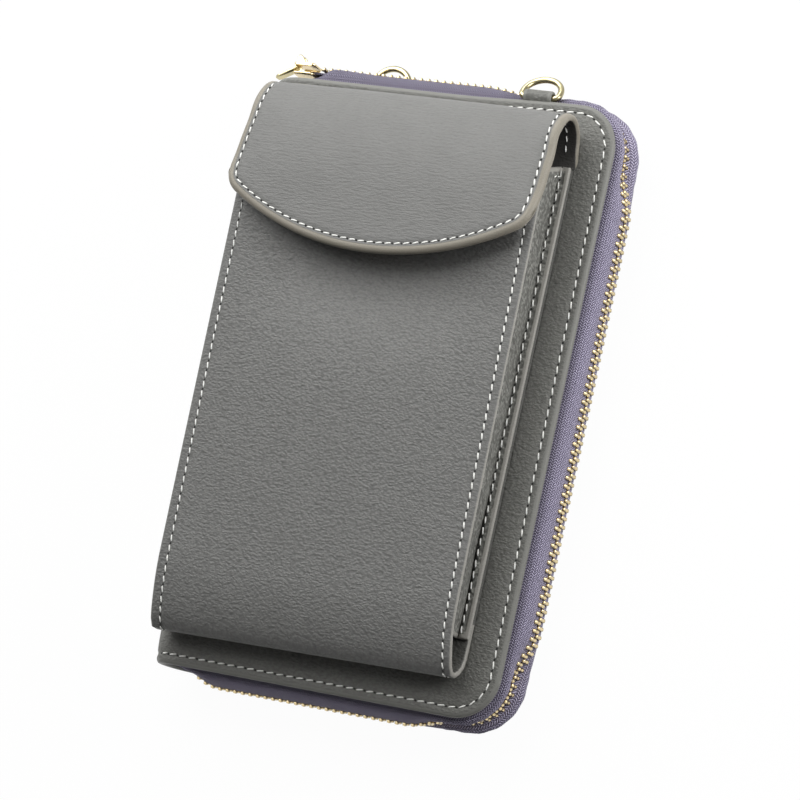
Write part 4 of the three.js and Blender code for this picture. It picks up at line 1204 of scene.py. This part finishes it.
class WALLET_OT_pocket(bpy.types.Operator):
    """Phone pocket: strip, gussets, lining, seams and the snap's socket"""
    bl_idname = "wallet.pocket"
    bl_label = "Phone pocket"

    def execute(self, context):
        sizes = context.scene.wallet_sizes
        finish = finishes()
        thickness = sizes.strip / MM
        groove = sizes.groove / MM
        bend, total, front_start = pocket_bend(thickness)
        cut = rectangle_cut((STRIP_LEFT, 0), (STRIP_RIGHT, total), 1.2, 8.0, 2.5, 18)
        side = STRIP_HALF - np.abs(cut[0] - STRIP_X)
        inset = np.where(cut[0] < STRIP_X, SEAM_IN[-1], SEAM_IN[1])
        dent = groove * bell(side - inset, GROOVE_W)
        edge = np.where(cut[1] > front_start - 2 * TURN_LONG, side, 9.0)
        edge = np.minimum(edge, total - cut[1])
        strip = sheet("pocket_strip", cut, bend, thickness, finish["panel"], dent, paint_rim=edge)
        dress(strip, "pocket_leather", "front_half", "pocket_front", "pocket_back")
        lift = thickness / 2 - groove + THREAD_PROUD
        for way, word in ((-1, "left"), (1, "right")):
            a = STRIP_X + way * (STRIP_HALF - SEAM_IN[way])
            path = [[a, front_start - 1.6 * TURN_LONG], [a, total - 1.5]]
            seam("pocket_seam_" + word, bend, np.array(path), lift, finish, "front_half", sizes.fine_pitch / MM)
            self.gusset(way, word, finish)
        flat_lining("pocket_cloth", "pocket_lining", "front_half", 1.0, 0.2)
        low, high = corners_of("snap_socket")
        x, y, _ = (low + high) / 2
        spot = np.array([x]), np.array([total - MOUTH_Y + y])
        axis = facing(bend, *spot, 5.0)[0]
        profile = [(0, 0.1), (2.4, 0.1), (2.6, 0.25), (2.9, 0.4), (5.9, 0.4), (6.4, 0.2), (6.5, -0.1), (6.4, -0.9),
                   (0, -0.9)]
        socket = turned("snap_ring", profile, bend(*spot)[0] + axis * (thickness / 2 + 0.4), axis, finish["brass"])
        dress(socket, "zip_brass", "front_half", "snap_socket")
        return {"FINISHED"}

    def gusset(self, way, word, finish):
        """One gusset with the seam on its back flange and the seam of its hem."""
        bend, total = gusset_bend(way)
        low, _ = corners_of("gusset_" + word)
        def turned_bend(a, b):
            return bend(a if way > 0 else total - a, b)

        cut = rectangle_cut((0, low[1]), (total, MOUTH_Y), 0.4, GUSSET / 2, 1.5)
        from_mouth = MOUTH_Y - cut[1]
        dent = HEM_DEPTH * bell(from_mouth - 3.0, 0.5) - HEM_DEPTH * bell(np.maximum(from_mouth - 3.4, 0), 0.5)
        piece = sheet("gusset_" + word + "_leather", cut, turned_bend, GUSSET, finish["gusset"], dent)
        dress(piece, "pocket_leather", "front_half", "gusset_" + word)
        flange = total - GUSSET_FLANGE if way > 0 else GUSSET_FLANGE
        path = np.array([[flange, low[1] + 1], [flange, MOUTH_Y - 0.5]])
        seam("gusset_seam_" + word, turned_bend, path, 0.75, finish, "front_half")
        ends = sorted([flange, total / 2])
        path = np.array([[ends[0], MOUTH_Y - HEM_SEAM], [ends[1], MOUTH_Y - HEM_SEAM]])
        seam("hem_seam_" + word, turned_bend, path, 0.9, finish, "front_half")


# Flap

FLAP_CORNER_R = 9.0
FLAP_X = POCKET_X
FLAP_HALF = POCKET_HALF + 1.0
FLAP_LONG = 0.8
FLAP_CREST_Y = MOUTH_Y - 16.0
FOLD_SAG = -0.35
FLAP_DROOP = 3.0
FLAP_HANG = 1.6
FLAP_SEAM = 2.95
FACING = 0.7


def flap_line(thickness):
    """Line of the flap's middle from its tip to the crest, down a quarter ellipse to the fold's far point and round a
    quarter circle to the back, and its length."""
    tip, top = FLAP_LOW[1], FLAP_HIGH[2] - STRIP / 2
    fold_r = (FOLD_HIGH[2] - FOLD_LOW[2] - STRIP) / 2
    fold_z = (FOLD_HIGH[2] + FOLD_LOW[2]) / 2
    fold_y = FOLD_LOW[1]
    drop = (thickness - STRIP) / 2
    reach = [fold_y + fold_r - FLAP_CREST_Y, top - drop - fold_z]
    front = [FLAP_CREST_Y, fold_z] + arc((0, 0), 1, 90, 0, 32) * reach
    back = arc((fold_y, fold_z), fold_r, 0, -90, 16)
    points = np.concatenate([[[tip, top + 0.4 - drop]], front, back, [[fold_y - 5, back[-1, 1]]]])
    return bent_line(points, 4.0)


def flap_foot(x, half, corner):
    """Height of the flap's lower edge above its tip: a long arc, then an arc of the corner's radius that runs into the
    straight side."""
    sag = MOUTH_Y - 16.2 - FLAP_LOW[1]
    radius = (half ** 2 + sag ** 2) / (2 * sag)
    x = np.minimum(np.abs(x), half)
    inner = half - corner
    meet = radius * inner / (radius - corner)
    centre = radius - math.sqrt((radius - corner) ** 2 - inner ** 2)
    turn = centre - np.sqrt(np.maximum(corner ** 2 - np.maximum(x - inner, 0) ** 2, 0))
    return np.where(x < meet, radius - np.sqrt(radius ** 2 - x ** 2), turn)


def segment_rim(a, b, outline):
    """Distance from each point to the nearest stretch of an outline."""
    start, stop = outline[:-1], outline[1:]
    run = stop - start
    place = np.stack([a, b], axis=-1).reshape(-1, 1, 2)
    share = ((place - start) * run).sum(-1) / np.maximum((run ** 2).sum(-1), 1e-12)
    near = start + np.clip(share, 0, 1)[..., None] * run
    return np.linalg.norm(place - near, axis=-1).min(axis=1).reshape(a.shape)


def flap_cut(total, half, edge, inset=0.0, stop=None, step=2.0):
    """Flat cut of the flap: columns run from the curved lower edge to the back of the fold. The left side draws in a
    little towards the fold and the right side towards the tip, where its corner hangs lower. Returns the two flat
    coordinates, the distance to the outline and the outline."""
    share = spaced(-1, 1, FLAP_CORNER_R / half, step / half, 18)
    rows = spaced(0, 1, edge / total, step / total, 18)
    fold = total - FOLD_HIGH[1] + FLAP_LOW[1]
    last = stop or total

    def columns(p, q):
        foot = flap_foot(p * half, half, FLAP_CORNER_R) + inset - FLAP_LONG - FLAP_HANG * np.clip(p, 0, 1) ** 2
        b = foot + q * (last - foot)
        draw = 0.6 * (1 - p) * ease((b - fold * 0.4) / (total * 0.4)) + 0.45 * (1 + p) * (1 - ease(b / 28))
        return FLAP_X + p * (half - inset - draw), b

    a, b = columns(share[:, None], rows[None, :])
    fine = np.linspace(-1, 1, 161)
    lower = np.stack(columns(fine, 0 * fine), axis=-1)
    sides = np.linspace(0, 1, 90)[1:]
    left = np.stack(columns(-1 + 0 * sides, sides), axis=-1)[::-1]
    right = np.stack(columns(1 + 0 * sides, sides), axis=-1)
    outline = np.concatenate([left, lower, right])
    return a, b, segment_rim(a, b, outline), outline


def inner_line(outline, inset):
    """Line at an inset inside an open outline that turns to the left."""
    tangent = unit(np.gradient(outline, axis=0))
    return outline + inset * np.stack([-tangent[:, 1], tangent[:, 0]], axis=-1)


class WALLET_OT_flap(bpy.types.Operator):
    """Flap with its fold, lining, seam and the snap's stud"""
    bl_idname = "wallet.flap"
    bl_label = "Flap"

    def execute(self, context):
        sizes = context.scene.wallet_sizes
        finish = finishes()
        thickness = sizes.flap / MM
        groove = sizes.groove / MM
        line, total = flap_line(thickness)

        def bend(a, b, sink=0.0):
            y, z = line(b)
            sag = FOLD_SAG * ease((y - MOUTH_Y) / 12) * (1 - ((a - FLAP_X) / FLAP_HALF) ** 2)
            edge = np.clip(np.abs(a - FLAP_X) / FLAP_HALF, 0, 1) ** 12
            droop = FLAP_DROOP * edge * ease((y - MOUTH_Y + 20) / 14) * (1 - ease((y - MOUTH_Y - 2) / 9))
            return np.stack([a, y - sag, z - sink - droop], axis=-1)

        a, b, rim, outline = flap_cut(total, FLAP_HALF, 8.0)
        fold = MOUTH_Y - FLAP_LOW[1]
        thin = thickness + (sizes.strip / MM - thickness) * ease((b - fold - 12) / 14)
        dent = groove * bell(rim - FLAP_SEAM, GROOVE_W) * (b < total - 1)
        leather = sheet("flap_leather", (a, b, rim), bend, thin, finish["flap"], dent, under_rim=1.5)
        dress(leather, "pocket_leather", None, "flap", "flap_fold")
        path = inner_line(outline, FLAP_SEAM)
        path = path[path[:, 1] < total - 22]
        fine = sizes.fine_pitch / MM
        stitches = seam("flap_seam", bend, path, thickness / 2 - groove + THREAD_PROUD, finish, None, fine)
        for piece in (leather, stitches):
            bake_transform(piece)
        for way, word in ((-1, "left"), (1, "right")):
            a = FLAP_X - way * (FLAP_HALF - 0.8 - FLAP_SEAM)
            path = np.array([[a, total - 20], [a, total - 4]])
            seam("fold_seam_" + word, lambda p, q: bend(2 * FLAP_X - p, q), path, sizes.strip / MM / 2, finish,
                 "front_half", fine)
        _, high = corners_of("flap_lining")
        a, b, rim, _ = flap_cut(total, FLAP_HALF, FACING / 2, 4.2, high[1] - FLAP_LOW[1])
        lining = sheet("flap_facing", (a, b, rim), lambda p, q: bend(p, q, thickness / 2 + 0.3), FACING, finish["card"])
        dress(lining, "pocket_leather", "flap_body", "flap_lining")
        low, high = corners_of("snap_stud")
        profile = [(0, 0.4), (6.4, 0.4), (6.5, 0.1), (6.3, -0.25), (2.8, -0.3), (2.4, -0.4), (0, -0.4)]
        stud = turned("snap_boss", profile, (low + high) / 2, (0, 0, 1), finish["brass"])
        dress(stud, "zip_brass", "flap_body", "snap_stud")
        return {"FINISHED"}


# Inside

class WALLET_OT_inside(bpy.types.Operator):
    """Linings, padding and card slots"""
    bl_idname = "wallet.inside"
    bl_label = "Lining and card slots"

    def execute(self, context):
        finish = finishes()
        for side in ("back", "front"):
            flat_lining(side + "_cloth", side + "_lining", side + "_half", CORNER_R - 2, 0)
            low, high = corners_of(side + "_padding")
            deep = high[2] - low[2]
            cut = rectangle_cut(low[:2], high[:2], 4.0, deep / 2, 6.0)
            pad = sheet(side + "_foam", cut, level((low[2] + high[2]) / 2), deep, finish["foam"])
            dress(pad, "foam", side + "_half", side + "_padding")
            frame["nodes"][side + "_stiffener"].data.materials.clear()
            frame["nodes"][side + "_stiffener"].data.materials.append(finish["board"])
        for number in range(1, CARD_SLOTS + 1):
            self.card_slot(f"card_slot_{number}", finish)
        return {"FINISHED"}

    def card_slot(self, node, finish):
        """One leaf, which rises over the leaf below it, with the seam along its upper edge."""
        low, high = corners_of(node)
        rise = (high[2] - low[2] - CARD) / (high[1] - low[1])
        seam_y = high[1] - 2.4

        def bend(a, b):
            return np.stack([a, b, low[2] + CARD / 2 + (b - low[1]) * rise], axis=-1)

        cut = rectangle_cut(low[:2], high[:2], 2.0, CARD / 2, 3.0)
        dent = 0.15 * bell(high[1] - cut[1] - 2.4, 0.5)
        leaf = sheet(node + "_leather", cut, bend, CARD, finish["card"], dent)
        dress(leaf, "card_leather", "back_half", node)
        path = np.array([[low[0] + 2, seam_y], [high[0] - 2, seam_y]])
        seam(node + "_seam", bend, path, CARD / 2 - 0.1, finish, "back_half", 3.0)


class WALLET_OT_coin_pocket(bpy.types.Operator):
    """Coin pocket with its own zip"""
    bl_idname = "wallet.coin_pocket"
    bl_label = "Coin pocket"

    def execute(self, context):
        finish = finishes()
        low, high = corners_of("coin_pocket")
        slot_low, slot_high = corners_of("coin_tape_lower")[0], corners_of("coin_tape_upper")[1]
        slot_low, slot_high = slot_low[:2] - 0.3, slot_high[:2] + 0.3
        b, a = np.meshgrid(*(np.unique(np.concatenate([spaced(low[k], high[k], 0.4, 2.0), [slot_low[k], slot_high[k]]]))
                             for k in (1, 0)))
        outer = box_rim(a, b, low[:2], high[:2], 0.01)
        hole = -box_rim(a, b, slot_low, slot_high, 0.01)
        deep = high[2] - low[2]

        def bend(p, q):
            lift = box_rim(p, q, low[:2], high[:2], 0.4)
            return np.stack([p, q, low[2] + COIN_WALL / 2 + (deep - COIN_WALL) * (1 - ease(lift / 5))], axis=-1)

        rim = np.minimum(outer, np.where(hole < 0.02, 0, hole))
        tray = sheet("coin_pouch", (a, b, rim), bend, COIN_WALL, finish["lining"],
                     keep=lambda p, q: box_rim(p, q, slot_low, slot_high, 0.01) <= 1e-6)
        dress(tray, "lining", "front_half", "coin_pocket")
        for place in ("upper", "lower"):
            self.half_zip(place, finish)
        self.slide(finish)
        return {"FINISHED"}

    def half_zip(self, place, finish):
        """One tape of the coin zip with its row of teeth."""
        low, high = corners_of("coin_tape_" + place)
        cut = rectangle_cut(low[:2], high[:2], 0.2, COIN_TAPE / 2, 1.2)
        tape = sheet("coin_tape_" + place + "_weave", cut, level((low[2] + high[2]) / 2), COIN_TAPE, finish["tape"])
        dress(tape, "zip_tape", "front_half", "coin_tape_" + place)
        low, high = corners_of("coin_teeth_" + place)
        pitch = 1.9
        count = int((high[0] - low[0]) / pitch)
        shift = 0.25 if place == "upper" else 0.75
        x = low[0] + (np.arange(count) + shift) * pitch
        way = -1.0 if place == "upper" else 1.0
        start = high[1] if place == "upper" else low[1]
        spots = np.stack([x, start + 0 * x, (low[2] + high[2]) / 2 + 0 * x], axis=-1)
        points, faces = tooth()
        points = points * [0.72, 0.62, 0.62]
        along_x = np.broadcast_to([way, 0, 0], spots.shape)
        up = np.broadcast_to([0, 0, 1.0], spots.shape)
        inwards = np.broadcast_to([0, way, 0], spots.shape)
        made, quads = copies(points, faces, spots, along_x, up, inwards)
        teeth = put_mesh("coin_teeth_" + place + "_row", made, quads[:, ::-1], finish["brass"])
        dress(teeth, "zip_brass", "front_half", "coin_teeth_" + place)

    def slide(self, finish):
        """Slider and pull of the coin zip, which face the cards."""
        low, high = corners_of("coin_slider")
        eye = JOINT_AT["coin_pull_swing"]
        teeth_low, teeth_high = corners_of("coin_teeth_upper")
        middle = (teeth_low[2] + teeth_high[2]) / 2
        place = slider_frame(np.array([low[0], eye[1], middle]), (1, 0, 0), (0, 1, 0), (0, 0, -1))
        gap = (teeth_high[2] - teeth_low[2]) / 2 + 0.3
        long, wide, _ = high - low
        made = slider("coin_runner", place, long=long, wide=wide, inner=-gap, outer=gap, plate=0.7,
                      eye=(eye[0] - low[0], middle - eye[2], eye[2] - low[2], 0.8, 0.8), finish=finish["brass"])
        dress(made, "zip_brass", "coin_slider_body", "coin_slider")
        place = slider_frame(eye, (-1, 0, 0), (0, 1, 0), (0, 0, -1))
        made = pull("coin_tab", place, long=10.9, wide=3.2, thick=0.6, eye_r=0.45, eye_w=1.0, finish=finish["gold"])
        dress(made, "zip_brass", "coin_pull_body", "coin_pull")


# Stage

# Each lamp's direction from the aim point, distance and size, in metres
LAMPS = {
    "key": ((-0.38, 0.65, 0.66), 0.7, 0.85),
    "side": ((0.85, 0.36, 0.38), 0.45, 0.25),
    "low": ((0.1, -0.93, 0.34), 0.5, 0.3),
}
FLOOR_HALF = 4.0
FLOOR_Z = -0.0004
FLOOR_GLOW = 0.97

class WALLET_OT_stage(bpy.types.Operator):
    """Floor, lamps, background and camera"""
    bl_idname = "wallet.stage"
    bl_label = "Stage"

    def execute(self, context):
        stage = context.scene.wallet_stage
        back = np.array([math.sin(stage.yaw) * math.cos(stage.pitch), math.sin(stage.pitch),
                         math.cos(stage.yaw) * math.cos(stage.pitch)])
        side = unit(np.cross([0, 1, 0], back))
        rise = np.cross(back, side)
        right = math.cos(stage.roll) * side + math.sin(stage.roll) * rise
        up = -math.sin(stage.roll) * side + math.cos(stage.roll) * rise
        aim = np.array(stage.aim)
        camera = self.placed("photo_camera", bpy.data.cameras.new("photo_camera"), aim + stage.distance * back,
                             right, up)
        camera.data.lens = stage.lens
        camera.data.sensor_fit = "HORIZONTAL"
        camera.data.clip_start = 0.05
        context.scene.camera = camera
        for name, (way, distance, size) in LAMPS.items():
            self.lamp(name, aim, unit(np.array(way)), distance, size, getattr(stage, name))
        self.world(context, stage.fill)
        self.floor()
        context.scene.view_settings.view_transform = "Standard"
        return {"FINISHED"}

    def placed(self, name, data, place, right, up):
        """Object that looks along its own -Z at a place, with the given right and up."""
        made = put_object(name, data)
        turn = Matrix((right, up, np.cross(right, up))).transposed().to_4x4()
        turn.translation = Vector(place)
        made.matrix_world = turn
        return made

    def lamp(self, name, aim, way, distance, size, power):
        """Soft square lamp that faces the aim point."""
        data = bpy.data.lights.new(name, "AREA")
        data.energy = power
        data.size = size
        right = unit(np.cross([0, 0, 1.0], way))
        self.placed(name, data, aim + distance * way, right, np.cross(way, right))

    def world(self, context, level):
        """Even light all round, with white behind the object."""
        world = bpy.data.worlds.new("studio")
        context.scene.world = world
        world.use_nodes = True
        tree = world.node_tree
        light = tree.nodes["Background"]
        light.inputs["Color"].default_value = (1, 1, 1, 1)
        light.inputs["Strength"].default_value = level
        white = tree.nodes.new("ShaderNodeBackground")
        mix_shaders(tree, seen_share(tree), light.outputs[0], white.outputs[0], "World Output")

    def floor(self):
        """Pale floor under the wallet, close to white where the camera sees it."""
        size = FLOOR_HALF
        corners = [(-size, -size), (size, -size), (size, size), (-size, size)]
        mesh = bpy.data.meshes.new("floor")
        mesh.from_pydata([(x, y, FLOOR_Z) for x, y in corners], [], [(0, 1, 2, 3)])
        made = put_object("floor", mesh)
        finish = Finish("floor", Base_Color=(0.88, 0.88, 0.88, 1), Roughness=0.8)
        tree = finish.tree
        glow = tree.nodes.new("ShaderNodeEmission")
        glow.inputs["Strength"].default_value = 1.0
        share = Value(finish, seen_share(tree)) * FLOOR_GLOW
        mix_shaders(tree, share.socket, finish.shader.outputs[0], glow.outputs[0], "Material Output")
        mesh.materials.append(finish.material)


def seen_share(tree):
    """1 for what the camera sees, straight or in a gloss or through glass."""
    path = tree.nodes.new("ShaderNodeLightPath")
    total = path.outputs["Is Camera Ray"]
    for name in ("Is Glossy Ray", "Is Transmission Ray"):
        more = tree.nodes.new("ShaderNodeMath")
        more.operation = "ADD"
        more.use_clamp = True
        tree.links.new(total, more.inputs[0])
        tree.links.new(path.outputs[name], more.inputs[1])
        total = more.outputs[0]
    return total


def mix_shaders(tree, share, first, second, output):
    """Shader between two shaders, sent to an output."""
    mixed = tree.nodes.new("ShaderNodeMixShader")
    for socket, source in enumerate((share, first, second)):
        tree.links.new(source, mixed.inputs[socket])
    tree.links.new(mixed.outputs[0], tree.nodes[output].inputs[0])


OPERATORS = (WALLET_OT_covers, WALLET_OT_zip, WALLET_OT_slider, WALLET_OT_rings, WALLET_OT_pocket, WALLET_OT_flap,
             WALLET_OT_inside, WALLET_OT_coin_pocket, WALLET_OT_stage)


class WALLET_PT_panel(bpy.types.Panel):
    """Wallet pieces and their sizes"""
    bl_label = "Wallet"
    bl_space_type = "VIEW_3D"
    bl_region_type = "UI"
    bl_category = "Wallet"

    def draw(self, context):
        for group in ("wallet_sizes", "wallet_colours", "wallet_stage"):
            owner = getattr(context.scene, group)
            box = self.layout.box()
            for key in owner.__annotations__:
                box.prop(owner, key)
        for operator in OPERATORS:
            self.layout.operator(operator.bl_idname)


GROUPS = {"wallet_sizes": WalletSizes, "wallet_colours": WalletColours, "wallet_stage": WalletStage}


def register():
    for kind in (*GROUPS.values(), *OPERATORS, WALLET_PT_panel):
        bpy.utils.register_class(kind)
    for name, kind in GROUPS.items():
        setattr(bpy.types.Scene, name, PointerProperty(type=kind))


def unregister():
    for name in GROUPS:
        delattr(bpy.types.Scene, name)
    for kind in (WALLET_PT_panel, *reversed(OPERATORS), *reversed(GROUPS.values())):
        bpy.utils.unregister_class(kind)


def main():
    register()
    for operator in OPERATORS:
        group, name = operator.bl_idname.split(".")
        getattr(getattr(bpy.ops, group), name)()


if __name__ == "__main__":
    main()
